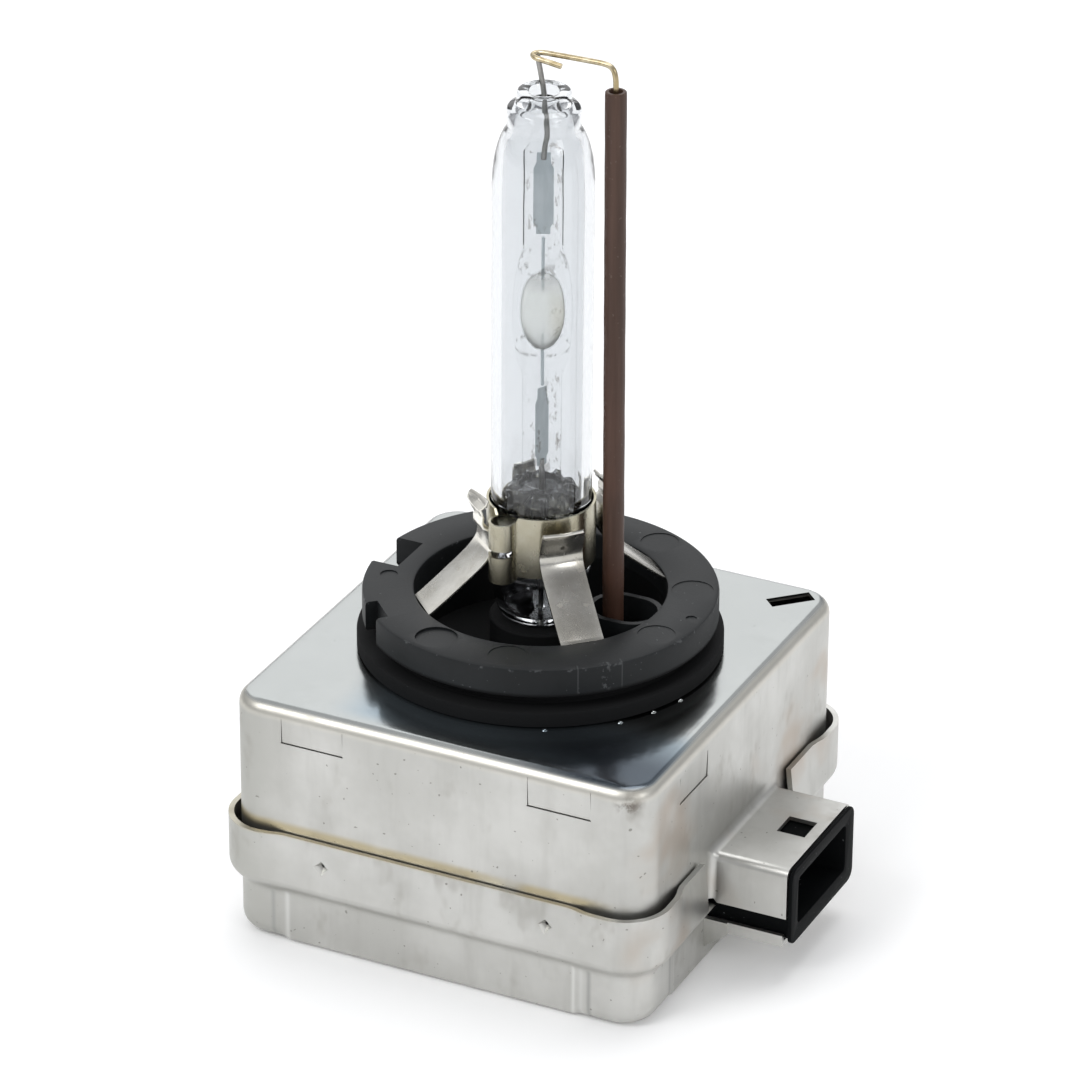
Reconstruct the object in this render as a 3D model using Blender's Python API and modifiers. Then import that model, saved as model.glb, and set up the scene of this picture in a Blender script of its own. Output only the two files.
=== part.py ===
"""Gas-discharge headlamp bulb with its igniter can, metres, +Z up along the lamp axis.

The origin is on the lamp axis at the flat outer face of the bottom cover. The
connector points along +X.
"""
import math

import bmesh
import bpy
from mathutils import Matrix, Vector

# Overall levels above the bottom cover
RING_TOP_Z = 0.0296          # reference face of the base ring
LIGHT_CENTRE = 0.0271        # arc centre above the reference face
ARC_Z = RING_TOP_Z + LIGHT_CENTRE
TOP_Z = 0.0809               # centre line of the wire hook
GAP = 0.0003                 # clearance between pieces that touch

# Quartz outer tube
ENVELOPE_R = 0.0045
ENVELOPE_WALL = 0.0009
ENVELOPE_BASE_Z = 0.02715
FOOT_R = 0.0039
FOOT_TOP_Z = 0.0320
FOOT_WALL = 0.0006
SHOULDER_CURVE = ((0.00370, 0.0733), (0.00402, 0.0724), (0.00428, 0.0713), (0.00444, 0.0700))
SHOULDER_Z = 0.0684
SHOULDER_INSIDE = ((0.0034, 0.0710), (0.0026, 0.0732))
NECK_R = 0.00324
NECK_LOW_Z = 0.0742
NECK_STEP_Z = 0.0762
NECK_TOP_R = 0.0023
NECK_BORE_R = 0.0013
NECK_BORE_LOW_Z = 0.0746
NECK_TOP_Z = 0.0780

# Burner
STEM_R = 0.0019
STEM_BORE_R = 0.0011
STEM_LOW_Z = 0.0401
STEM_TOP_Z = 0.0720
BULB_R = 0.0026
BULB_REACH = 0.0022           # the bulb blends into each stem over this length
CHAMBER_R = 0.0020
CHAMBER_HALF = 0.0036
THROAT_R = 0.00032            # bore round each electrode
THROAT_LENGTH = 0.0022
THROAT_FLARE = 0.0010
ELECTRODE_R = 0.00016
ELECTRODE_GAP = 0.0042
ELECTRODE_LENGTH = 0.0050
FOIL_WIDTH = 0.0018
FOIL_LENGTH = 0.0075
FOIL_THICKNESS = 0.00012
FOIL_TURNS = (25, 75)         # degrees about the lamp axis, upper and lower
LEAD_R = 0.00025
UPPER_LEAD_BOW = (0.0003, 0.0001)
UPPER_LEAD_END = (-0.0002, 0.0001)
LOWER_LEAD_DROP = 0.0028

# Return wire and its sleeve
RETURN_X = 0.0072
RETURN_R = 0.00025
RETURN_DROP = 0.0024
HOOK = (                     # (x, y, depth below TOP_Z) along the wire, free end first
    (0.00170, -0.00060, 0.0009), (0.00080, -0.00065, 0.0006), (-0.00040, -0.00065, 0.0003),
    (-0.00105, 0.00010, 0.0001), (-0.00040, 0.00085, 0.0), (0.00100, 0.00080, 0.0),
    (0.00450, 0.00020, 0.0003), (0.00640, 0.0, 0.0007), (RETURN_X, 0.0, 0.0018),
)
SLEEVE_R = 0.00095
SLEEVE_BORE_R = 0.00055
SLEEVE_LOW_Z = 0.0226
SLEEVE_TOP_Z = 0.0786

# Clamp band and its straps
BAND_R = 0.00478
BAND_THICKNESS = 0.00024
BAND_LOW_Z = 0.0323
BAND_TOP_Z = 0.0385
BEAD_ANGLE = -106.0
BEAD_R = 0.0011
BEAD_CENTRE_R = 0.0052
BEAD_SLOT_Z = 0.0345
BEAD_SLOT_HEIGHT = 0.0003
BEAD_SLOT_WIDTH = 0.0040
BEAD_SLOT_DEPTH = 0.0028
BEAD_ARC = 190.0             # degrees of the bead that stand clear of the band
STRAP_WIDTH = 0.0040
STRAP_THICKNESS = 0.00026
STRAP_OUTER_R = 0.0109
STRAP_OUTER_Z = 0.0294
STRAP_TOP_R = 0.00535
STRAP_TOP_Z = 0.0379
STRAP_MIDDLE = (0.0082, 0.0320)
STRAP_FOLD = ((0.0059, 0.0338), (0.0054, 0.0345), (0.0053, 0.0351))
STRAP_ANGLES = (-45, -135, 135, 45)
STRAP_BESIDE_BEAD = 0.0006    # strap 2 is cut back to this width on the bead's side
STRAP_CUT_R = 0.0063

# Black base
RING_R = 0.0160
RING_LOW_Z = 0.0268
NECK_GROOVE_R = 0.0145
FLANGE_R = 0.0165
FLANGE_TOP_Z = 0.0256
FLANGE_LOW_Z = 0.0242
SPIGOT_R = 0.0136
SPIGOT_LOW_Z = 0.0206
WELL_R = 0.0113
WELL_FLOOR_Z = 0.0226
HUB_R = 0.0047
HUB_TOP_Z = 0.02685
HUB_BORE_R = 0.0013
BIG_NOTCH_WIDTH = 0.0050
BIG_NOTCH_DEPTH = 0.0029
SMALL_NOTCH_WIDTH = 0.0032
SMALL_NOTCH_DEPTH = 0.0012
SMALL_NOTCH_ANGLE = -135.5
BOSS_X = 0.0077
BOSS_OUTER_R = 0.0028
BOSS_INNER_R = 0.0023
BOSS_LENGTH = 0.0013
BOSS_TOP_Z = 0.0292
BOSS_FLOOR_Z = 0.0230
BASE_EDGE = 0.0003           # rounding of the base's edges
NOTCH_FLOOR_DROP = 0.0004

# Shield can, outer faces
CAN_X = (-0.0203, 0.0205)
CAN_Y = (-0.0217, 0.0207)
CAN_TOP_Z = 0.0240
CAN_LOW_Z = 0.0068
CAN_CORNER_R = 0.0032
CAN_TOP_EDGE_R = 0.0011
CAN_WALL = 0.0004
CAN_HOLE_R = 0.0142
SLOT_CENTRE = (0.0170, 0.0172)
SLOT_SIZE = (0.0042, 0.0016)
COLLAR_OUT = 0.00117
COLLAR_LOW_Z = 0.0058
COLLAR_TOP_Z = 0.0116
COVER_WALL = 0.0005
COVER_FLOOR = 0.0006
COLLAR_STEP = 0.0006         # thickness of the ledge under the collar

# Connector
PORT_Y = (-0.0078, 0.0062)
PORT_END_X = 0.0281
PORT_LOW_Z = 0.0036
PORT_TOP_Z = 0.0113
COLLAR_GAP_Y = (-0.0103, 0.0086)
HOOD_SKIRT_Z = 0.0064
HOOD_WALL = 0.0004
LATCH_HOLE = (0.0256, -0.00015)
LATCH_SIZE = (0.0027, 0.0029)
TONGUE_LIP = 0.0011
FRAME_THICKNESS = 0.0004
HOUSING_BACK_X = 0.0142
HOUSING_GAP = 0.00015        # between the housing and the hood's wall
MOUTH_Y = (-0.0063, 0.0043)
MOUTH_Z = (0.0053, 0.0100)
MOUTH_BACK_X = 0.0218
PIN_SIZE = 0.0008
PIN_PITCH = 0.0026
PIN_COUNT = 4
PIN_X = (0.0150, 0.0243)

# Igniter inside the can
FRAME_X = (-0.0188, 0.0132)
FRAME_Y = (-0.0202, 0.0192)
FRAME_Z = (0.0030, 0.0200)
FRAME_WALL = 0.0010
FRAME_CORNER_R = 0.0020
LEAD_WAY_R = 0.0016
RETURN_WAY_R = 0.0014
BOARD_Z = (0.0012, 0.0022)
COIL_CENTRE = (-0.0090, -0.0005, 0.0113)
CORE_R = 0.0026
CORE_LENGTH = 0.0330
BOBBIN_BORE_R = 0.0029
BOBBIN_BODY_R = 0.0037
BOBBIN_FLANGE_R = 0.0062
BOBBIN_LENGTH = 0.0300
BOBBIN_RIM = 0.0008
SECONDARY_R = 0.0056
PRIMARY_R = 0.0070
PRIMARY_LENGTH = 0.0140
SPARK_CENTRE = (0.0060, -0.0140, 0.0075)
SPARK_R = 0.0032
SPARK_LENGTH = 0.0052
SPARK_CAP_R = 0.0028
SPARK_CAP_LENGTH = 0.0008
CAPACITOR_CENTRE = (0.0060, 0.0085, 0.0080)
CAPACITOR_SIZE = (0.0090, 0.0130, 0.0095)
CAPACITOR_CORNER_R = 0.0008
RESISTOR_CENTRE = (0.0060, -0.0060, 0.0050)
RESISTOR_R = 0.0015
RESISTOR_LENGTH = 0.0070
TERMINAL_R = 0.0011
TERMINAL_BORE_R = 0.0005
TERMINAL_LENGTH = 0.0033

SEGMENTS = 48
CUT_PAST = 0.0020            # how far a cutter runs past the face that it opens
OVERLAP = 0.0002             # how far joined solids reach into each other

COLOURS = {
    "glass": ((0.86, 0.90, 0.93), 0.05, 0.0),
    "tungsten": ((0.36, 0.37, 0.38), 0.40, 1.0),
    "nickel": ((0.72, 0.68, 0.58), 0.32, 1.0),
    "sleeve": ((0.13, 0.07, 0.05), 0.45, 0.0),
    "steel": ((0.70, 0.69, 0.66), 0.30, 1.0),
    "tin": ((0.72, 0.71, 0.68), 0.38, 1.0),
    "black": ((0.045, 0.050, 0.054), 0.50, 0.0),
    "board": ((0.06, 0.20, 0.09), 0.50, 0.0),
    "ferrite": ((0.08, 0.08, 0.08), 0.60, 0.0),
    "copper": ((0.70, 0.32, 0.14), 0.35, 1.0),
    "ceramic": ((0.80, 0.78, 0.72), 0.50, 0.0),
    "film": ((0.10, 0.18, 0.45), 0.45, 0.0),
}


def clear_scene():
    for obj in list(bpy.data.objects):
        bpy.data.objects.remove(obj, do_unlink=True)


def make_collection(name):
    collection = bpy.data.collections.new(name)
    bpy.context.scene.collection.children.link(collection)
    return collection


clear_scene()
PARTS = make_collection("headlight_bulb")
CUTTERS = make_collection("cutters")


def add_material(obj, kind):
    colour, roughness, metallic = COLOURS[kind]
    material = bpy.data.materials.new(obj.name)
    material.use_nodes = True
    shader = material.node_tree.nodes["Principled BSDF"]
    shader.inputs["Base Color"].default_value = (*colour, 1.0)
    shader.inputs["Roughness"].default_value = roughness
    shader.inputs["Metallic"].default_value = metallic
    obj.data.materials.clear()
    obj.data.materials.append(material)


def place_part(obj, kind, smooth=True):
    PARTS.objects.link(obj)
    add_material(obj, kind)
    if smooth:
        obj.data.shade_smooth()
        obj.data.set_sharp_from_angle(angle=math.radians(30))
    return obj


def place_cutter(obj):
    CUTTERS.objects.link(obj)
    obj.hide_render = True
    obj.display_type = "WIRE"
    return obj


def mesh_object(name, bm):
    mesh = bpy.data.meshes.new(name)
    bm.to_mesh(mesh)
    bm.free()
    return bpy.data.objects.new(name, mesh)


def apply_boolean(obj, other, operation="DIFFERENCE"):
    modifier = obj.modifiers.new(other.name, "BOOLEAN")
    modifier.operation = operation
    modifier.solver = "EXACT"
    modifier.object = other
    return modifier


def block(name, xs, ys, zs, corner_r=0.0, corner_steps=4, top_r=0.0, top_steps=2):
    """A box between three pairs of limits, with rounded upright and top edges."""
    bm = bmesh.new()
    bmesh.ops.create_cube(bm, size=1.0)
    size = Vector((xs[1] - xs[0], ys[1] - ys[0], zs[1] - zs[0]))
    centre = Vector((sum(xs), sum(ys), sum(zs))) / 2
    bmesh.ops.transform(bm, matrix=Matrix.Diagonal(size).to_4x4(), verts=bm.verts)
    bmesh.ops.translate(bm, vec=centre, verts=bm.verts)
    if corner_r:
        upright = [e for e in bm.edges if abs(e.verts[0].co.z - e.verts[1].co.z) > 1e-6]
        bmesh.ops.bevel(bm, geom=upright, offset=corner_r, offset_type="OFFSET",
                        segments=corner_steps, profile=0.5, affect="EDGES")
    if top_r:
        top = [e for e in bm.edges if min(v.co.z for v in e.verts) > zs[1] - 1e-6]
        bmesh.ops.bevel(bm, geom=top, offset=top_r, offset_type="OFFSET",
                        segments=top_steps, profile=0.5, affect="EDGES")
    return mesh_object(name, bm)


def rod(name, radius, length, centre, axis="Z", segments=SEGMENTS):
    """A cylinder of the given length centred on a point."""
    bm = bmesh.new()
    bmesh.ops.create_cone(bm, cap_ends=True, segments=segments, radius1=radius,
                          radius2=radius, depth=length)
    turn = {"X": ("Y", 90), "Y": ("X", 90), "Z": ("Z", 0)}[axis]
    matrix = Matrix.Translation(centre) @ Matrix.Rotation(math.radians(turn[1]), 4, turn[0])
    bmesh.ops.transform(bm, matrix=matrix, verts=bm.verts)
    return mesh_object(name, bm)


def turned(name, profile, centre=(0, 0, 0), axis="Z", segments=SEGMENTS):
    """A closed (radius, height) profile turned about an axis, outer side first."""
    bm = bmesh.new()
    verts = [bm.verts.new((r, 0, z)) for r, z in profile]
    for first, second in zip(verts, verts[1:] + verts[:1]):
        bm.edges.new((first, second))
    obj = mesh_object(name, bm)
    obj.location = centre
    if axis == "Y":
        obj.rotation_euler = (math.radians(-90), 0, 0)
    screw = obj.modifiers.new("turn", "SCREW")
    screw.steps = segments
    screw.render_steps = segments
    screw.merge_threshold = 0.00001
    screw.use_merge_vertices = True
    screw.use_smooth_shade = True
    return obj


def wire(name, points, radius, resolution=2):
    """A round wire along straight spans between points."""
    curve = bpy.data.curves.new(name, "CURVE")
    curve.dimensions = "3D"
    curve.bevel_depth = radius
    curve.bevel_resolution = resolution
    curve.use_fill_caps = True
    spline = curve.splines.new("POLY")
    spline.points.add(len(points) - 1)
    for point, position in zip(spline.points, points):
        point.co = (*position, 1.0)
    return bpy.data.objects.new(name, curve)


def smooth_path(points, per_span=6):
    """Points on a Catmull-Rom curve through the given ones."""
    ends = [points[0]] + list(points) + [points[-1]]
    path = []
    for a, b, c, d in zip(ends, ends[1:], ends[2:], ends[3:]):
        a, b, c, d = Vector(a), Vector(b), Vector(c), Vector(d)
        for step in range(per_span):
            t = step / per_span
            path.append(0.5 * (2 * b + (c - a) * t + (2 * a - 5 * b + 4 * c - d) * t ** 2
                               + (3 * b - a - 3 * c + d) * t ** 3))
    path.append(Vector(points[-1]))
    return path


def grow(limits, amount):
    return (limits[0] - amount, limits[1] + amount)


# ---- light source ----

def make_envelope():
    inner = ENVELOPE_R - ENVELOPE_WALL
    floor_z = ENVELOPE_BASE_Z + FOOT_WALL
    outside = [
        (NECK_BORE_R, NECK_TOP_Z), (NECK_TOP_R, NECK_TOP_Z), (NECK_TOP_R, NECK_STEP_Z),
        (NECK_R, NECK_STEP_Z), (NECK_R, NECK_LOW_Z), *SHOULDER_CURVE, (ENVELOPE_R, SHOULDER_Z),
        (ENVELOPE_R, FOOT_TOP_Z), (FOOT_R, ENVELOPE_BASE_Z), (HUB_BORE_R, ENVELOPE_BASE_Z),
    ]
    inside = [
        (HUB_BORE_R, floor_z), (FOOT_R - FOOT_WALL, floor_z), (inner, FOOT_TOP_Z),
        (inner, SHOULDER_Z), *SHOULDER_INSIDE, (NECK_BORE_R, NECK_BORE_LOW_Z),
    ]
    profile = outside + inside
    return place_part(turned("outer_envelope", profile), "glass")


def make_arc_tube():
    half = CHAMBER_HALF
    outer = [(STEM_R, STEM_TOP_Z)]
    steps = 8
    for i in range(steps + 1):
        angle = math.pi * i / steps
        bulge = STEM_R + (BULB_R - STEM_R) * math.sin(angle) ** 1.5
        outer.append((bulge, ARC_Z + (half + BULB_REACH) * math.cos(angle)))
    outer.append((STEM_R, STEM_LOW_Z))
    throat_z = half + THROAT_LENGTH
    flare_z = throat_z + THROAT_FLARE
    inner = [(STEM_BORE_R, STEM_LOW_Z), (STEM_BORE_R, ARC_Z - flare_z), (THROAT_R, ARC_Z - throat_z)]
    for i in range(1, steps):
        angle = math.pi * i / steps
        inner.append((THROAT_R + (CHAMBER_R - THROAT_R) * math.sin(angle) ** 0.8,
                      ARC_Z - half * math.cos(angle)))
    inner += [(THROAT_R, ARC_Z + throat_z), (STEM_BORE_R, ARC_Z + flare_z), (STEM_BORE_R, STEM_TOP_Z)]
    return place_part(turned("arc_tube", outer + inner, segments=32), "glass")


def make_electrodes():
    for name, side in (("upper_electrode", 1), ("lower_electrode", -1)):
        tip = ARC_Z + side * ELECTRODE_GAP / 2
        centre = (0, 0, tip + side * ELECTRODE_LENGTH / 2)
        place_part(rod(name, ELECTRODE_R, ELECTRODE_LENGTH, centre, segments=12), "tungsten")


def foil_start(side):
    return ARC_Z + side * (ELECTRODE_GAP / 2 + ELECTRODE_LENGTH + GAP)


def make_foils():
    for name, side, turn in (("upper_foil", 1, FOIL_TURNS[0]), ("lower_foil", -1, FOIL_TURNS[1])):
        start = foil_start(side)
        end = start + side * FOIL_LENGTH
        foil = block(name, (-FOIL_WIDTH / 2, FOIL_WIDTH / 2),
                     (-FOIL_THICKNESS / 2, FOIL_THICKNESS / 2), sorted((start, end)))
        foil.rotation_euler = (0, 0, math.radians(turn))
        place_part(foil, "tungsten", smooth=False)


def make_leads():
    top = foil_start(1) + FOIL_LENGTH + GAP
    low = foil_start(-1) - FOIL_LENGTH - GAP
    upper = [(0, 0, top), (*UPPER_LEAD_BOW, (top + NECK_STEP_Z) / 2), (0, 0, NECK_STEP_Z),
             (*UPPER_LEAD_END, (NECK_TOP_Z + TOP_Z) / 2), (*UPPER_LEAD_END, TOP_Z)]
    place_part(wire("upper_lead", smooth_path(upper, 3), LEAD_R), "nickel", smooth=False)
    lower = [(0, 0, low), (0, 0, SPIGOT_LOW_Z - LOWER_LEAD_DROP)]
    place_part(wire("lower_lead", lower, LEAD_R), "nickel", smooth=False)


def make_return_wire():
    hook = [(x, y, TOP_Z - depth) for x, y, depth in HOOK] + [(RETURN_X, 0, SLEEVE_TOP_Z)]
    path = smooth_path(hook, 4) + [Vector((RETURN_X, 0, SPIGOT_LOW_Z - RETURN_DROP))]
    place_part(wire("return_wire", path, RETURN_R), "nickel", smooth=False)


def make_sleeve():
    profile = [(SLEEVE_BORE_R, SLEEVE_TOP_Z), (SLEEVE_R, SLEEVE_TOP_Z),
               (SLEEVE_R, SLEEVE_LOW_Z), (SLEEVE_BORE_R, SLEEVE_LOW_Z)]
    sleeve = turned("ceramic_sleeve", profile, (RETURN_X, 0, 0), segments=24)
    place_part(sleeve, "sleeve")


# ---- clamp and straps ----

def band_outline():
    """Plan path of the band: a circle with a rolled seam bead standing out of it."""
    half = math.degrees(math.asin(BEAD_R / BAND_R))
    points = []
    steps = 44
    for i in range(steps + 1):
        angle = math.radians(BEAD_ANGLE + half + (360 - 2 * half) * i / steps)
        points.append((BAND_R * math.cos(angle), BAND_R * math.sin(angle)))
    out = math.radians(BEAD_ANGLE)
    centre = (BEAD_CENTRE_R * math.cos(out), BEAD_CENTRE_R * math.sin(out))
    bead_steps = 10
    for i in range(bead_steps + 1):
        angle = out + math.radians(BEAD_ARC * (i / bead_steps - 0.5))
        points.append((centre[0] + BEAD_R * math.cos(angle), centre[1] + BEAD_R * math.sin(angle)))
    return points


def make_clamp():
    bm = bmesh.new()
    verts = [bm.verts.new((x, y, BAND_LOW_Z)) for x, y in band_outline()]
    edges = [bm.edges.new(pair) for pair in zip(verts, verts[1:] + verts[:1])]
    raised = bmesh.ops.extrude_edge_only(bm, edges=edges)["geom"]
    raised_verts = [item for item in raised if isinstance(item, bmesh.types.BMVert)]
    bmesh.ops.translate(bm, vec=(0, 0, BAND_TOP_Z - BAND_LOW_Z), verts=raised_verts)
    bmesh.ops.recalc_face_normals(bm, faces=bm.faces)
    clamp = mesh_object("tube_clamp", bm)
    wall = clamp.modifiers.new("wall", "SOLIDIFY")
    wall.thickness = BAND_THICKNESS
    wall.offset = 0
    out = math.radians(BEAD_ANGLE)
    slot_x = BAND_R + BAND_THICKNESS
    slot = block("bead_slot", (slot_x, slot_x + BEAD_SLOT_DEPTH), grow((0, 0), BEAD_SLOT_WIDTH / 2),
                 grow((BEAD_SLOT_Z,) * 2, BEAD_SLOT_HEIGHT / 2))
    slot.rotation_euler = (0, 0, out)
    apply_boolean(clamp, place_cutter(slot))
    place_part(clamp, "steel")


def strap_profile():
    """Side view of a strap as (radius, height), from the base up to the band."""
    return [(STRAP_OUTER_R, STRAP_OUTER_Z), STRAP_MIDDLE, *STRAP_FOLD, (STRAP_TOP_R, STRAP_TOP_Z)]


def make_straps():
    for number, angle in enumerate(STRAP_ANGLES, start=1):
        bm = bmesh.new()
        left = STRAP_WIDTH / 2
        rows = []
        for radius, height in strap_profile():
            beside_bead = number == 2 and radius < STRAP_CUT_R
            right = STRAP_BESIDE_BEAD if beside_bead else STRAP_WIDTH / 2
            rows.append((bm.verts.new((radius, -left, height)), bm.verts.new((radius, right, height))))
        for low, high in zip(rows, rows[1:]):
            bm.faces.new((low[0], low[1], high[1], high[0]))
        bmesh.ops.recalc_face_normals(bm, faces=bm.faces)
        strap = mesh_object("mounting_strap_%d" % number, bm)
        strap.rotation_euler = (0, 0, math.radians(angle))
        wall = strap.modifiers.new("wall", "SOLIDIFY")
        wall.thickness = STRAP_THICKNESS
        wall.offset = 0
        place_part(strap, "steel", smooth=False)


# ---- black base ----

def base_profile():
    edge = BASE_EDGE
    return [
        (WELL_R + edge, RING_TOP_Z), (RING_R - edge, RING_TOP_Z), (RING_R, RING_TOP_Z - edge),
        (RING_R, RING_LOW_Z), (NECK_GROOVE_R, RING_LOW_Z), (NECK_GROOVE_R, FLANGE_TOP_Z),
        (FLANGE_R - edge, FLANGE_TOP_Z), (FLANGE_R, FLANGE_TOP_Z - edge), (FLANGE_R, FLANGE_LOW_Z),
        (SPIGOT_R, FLANGE_LOW_Z), (SPIGOT_R, SPIGOT_LOW_Z), (HUB_BORE_R, SPIGOT_LOW_Z),
        (HUB_BORE_R, HUB_TOP_Z), (HUB_R, HUB_TOP_Z), (HUB_R, WELL_FLOOR_Z),
        (WELL_R, WELL_FLOOR_Z), (WELL_R, RING_TOP_Z - edge),
    ]


def racetrack(name, radius, zs):
    """An upright solid with an oblong plan, where the return wire enters the base."""
    bm = bmesh.new()
    steps = 12
    outline = []
    for end, start in ((BOSS_X + BOSS_LENGTH, -90), (BOSS_X, 90)):
        for i in range(steps + 1):
            angle = math.radians(start + 180 * i / steps)
            outline.append(bm.verts.new((end + radius * math.cos(angle),
                                         radius * math.sin(angle), zs[0])))
    face = bm.faces.new(outline)
    raised = bmesh.ops.extrude_face_region(bm, geom=[face])["geom"]
    raised_verts = [item for item in raised if isinstance(item, bmesh.types.BMVert)]
    bmesh.ops.translate(bm, vec=(0, 0, zs[1] - zs[0]), verts=raised_verts)
    bmesh.ops.recalc_face_normals(bm, faces=bm.faces)
    return mesh_object(name, bm)


def make_base():
    base = turned("base_ring", base_profile(), segments=72)
    boss = racetrack("wire_boss", BOSS_OUTER_R, (WELL_FLOOR_Z - OVERLAP, BOSS_TOP_Z))
    apply_boolean(base, place_cutter(boss), "UNION")
    pocket = racetrack("boss_pocket", BOSS_INNER_R, (BOSS_FLOOR_Z, RING_TOP_Z + CUT_PAST))
    apply_boolean(base, place_cutter(pocket))
    hole = rod("sleeve_hole", SLEEVE_R + GAP, BOSS_TOP_Z - SPIGOT_LOW_Z + 2 * CUT_PAST,
               (RETURN_X, 0, (BOSS_TOP_Z + SPIGOT_LOW_Z) / 2), segments=24)
    apply_boolean(base, place_cutter(hole))
    big = block("big_notch", (-RING_R - CUT_PAST, -RING_R + BIG_NOTCH_DEPTH),
                (-BIG_NOTCH_WIDTH / 2, BIG_NOTCH_WIDTH / 2),
                (FLANGE_TOP_Z + NOTCH_FLOOR_DROP, RING_TOP_Z + CUT_PAST))
    apply_boolean(base, place_cutter(big))
    small = block("small_notch", (RING_R - SMALL_NOTCH_DEPTH, RING_R + CUT_PAST),
                  (-SMALL_NOTCH_WIDTH / 2, SMALL_NOTCH_WIDTH / 2),
                  (RING_LOW_Z - NOTCH_FLOOR_DROP, RING_TOP_Z + CUT_PAST))
    small.rotation_euler = (0, 0, math.radians(SMALL_NOTCH_ANGLE))
    apply_boolean(base, place_cutter(small))
    place_part(base, "black", smooth=False)


# ---- shield can ----

def make_upper_can():
    can = block("upper_can", CAN_X, CAN_Y, (CAN_LOW_Z, CAN_TOP_Z), CAN_CORNER_R, 5,
                CAN_TOP_EDGE_R, 3)
    hood = block("hood", (CAN_X[1] - OVERLAP, PORT_END_X), PORT_Y, (HOOD_SKIRT_Z, PORT_TOP_Z))
    apply_boolean(can, place_cutter(hood), "UNION")
    inside = block("can_inside", grow(CAN_X, -CAN_WALL), grow(CAN_Y, -CAN_WALL),
                   (CAN_LOW_Z - CUT_PAST, CAN_TOP_Z - CAN_WALL), CAN_CORNER_R - CAN_WALL, 5,
                   CAN_TOP_EDGE_R - CAN_WALL, 3)
    apply_boolean(can, place_cutter(inside))
    under_hood = block("under_hood", (CAN_X[1] - CUT_PAST, PORT_END_X + CUT_PAST),
                       grow(PORT_Y, -HOOD_WALL), (HOOD_SKIRT_Z - CUT_PAST, PORT_TOP_Z - HOOD_WALL))
    apply_boolean(can, place_cutter(under_hood))
    latch = block("latch_hole", grow((LATCH_HOLE[0],) * 2, LATCH_SIZE[0] / 2),
                  grow((LATCH_HOLE[1],) * 2, LATCH_SIZE[1] / 2), grow((PORT_TOP_Z,) * 2, CUT_PAST / 2))
    apply_boolean(can, place_cutter(latch))
    hole = rod("can_hole", CAN_HOLE_R, 2 * CUT_PAST, (0, 0, CAN_TOP_Z), segments=48)
    apply_boolean(can, place_cutter(hole))
    slot = block("can_slot", (-SLOT_SIZE[0] / 2, SLOT_SIZE[0] / 2),
                 (-SLOT_SIZE[1] / 2, SLOT_SIZE[1] / 2), (-CUT_PAST, CUT_PAST))
    slot.location = (*SLOT_CENTRE, CAN_TOP_Z)
    slot.rotation_euler = (0, 0, math.radians(45))
    apply_boolean(can, place_cutter(slot))
    place_part(can, "tin")


def make_lower_can():
    outer_x, outer_y = grow(CAN_X, COLLAR_OUT), grow(CAN_Y, COLLAR_OUT)
    radius = CAN_CORNER_R + COLLAR_OUT
    cover = block("lower_can", CAN_X, CAN_Y, (0, COLLAR_LOW_Z + COLLAR_STEP - OVERLAP),
                  CAN_CORNER_R, 5)
    collar = block("collar", outer_x, outer_y, (COLLAR_LOW_Z, COLLAR_TOP_Z), radius, 5)
    apply_boolean(cover, place_cutter(collar), "UNION")
    band_inside = block("band_inside", grow(CAN_X, -COVER_WALL), grow(CAN_Y, -COVER_WALL),
                        (COVER_FLOOR, COLLAR_TOP_Z), CAN_CORNER_R - COVER_WALL, 5)
    apply_boolean(cover, place_cutter(band_inside))
    collar_inside = block("collar_inside", grow(outer_x, -COVER_WALL), grow(outer_y, -COVER_WALL),
                          (COLLAR_LOW_Z + COLLAR_STEP, COLLAR_TOP_Z + CUT_PAST), radius - COVER_WALL, 5)
    apply_boolean(cover, place_cutter(collar_inside))
    tongue = block("tongue", (CAN_X[1] - OVERLAP, PORT_END_X - GAP), PORT_Y,
                   (PORT_LOW_Z, PORT_LOW_Z + TONGUE_LIP))
    apply_boolean(cover, place_cutter(tongue), "UNION")
    port = block("cover_port", (CAN_X[1] - CUT_PAST, PORT_END_X + CUT_PAST),
                 (PORT_Y[0] + HOOD_WALL, PORT_Y[1] - HOOD_WALL),
                 (PORT_LOW_Z + HOOD_WALL, COLLAR_TOP_Z + CUT_PAST))
    apply_boolean(cover, place_cutter(port))
    hood_way = block("hood_way", grow((CAN_X[1],) * 2, CUT_PAST), grow(PORT_Y, GAP),
                     (HOOD_SKIRT_Z - GAP, COLLAR_TOP_Z + CUT_PAST))
    apply_boolean(cover, place_cutter(hood_way))
    collar_gap = block("collar_gap", (CAN_X[1] + OVERLAP, CAN_X[1] + CUT_PAST), COLLAR_GAP_Y,
                       (COLLAR_LOW_Z + COLLAR_STEP, COLLAR_TOP_Z + CUT_PAST))
    apply_boolean(cover, place_cutter(collar_gap))
    place_part(cover, "tin")


# ---- connector ----

def pin_positions():
    middle = sum(PORT_Y) / 2
    return [middle + PIN_PITCH * (i - (PIN_COUNT - 1) / 2) for i in range(PIN_COUNT)]


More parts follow.
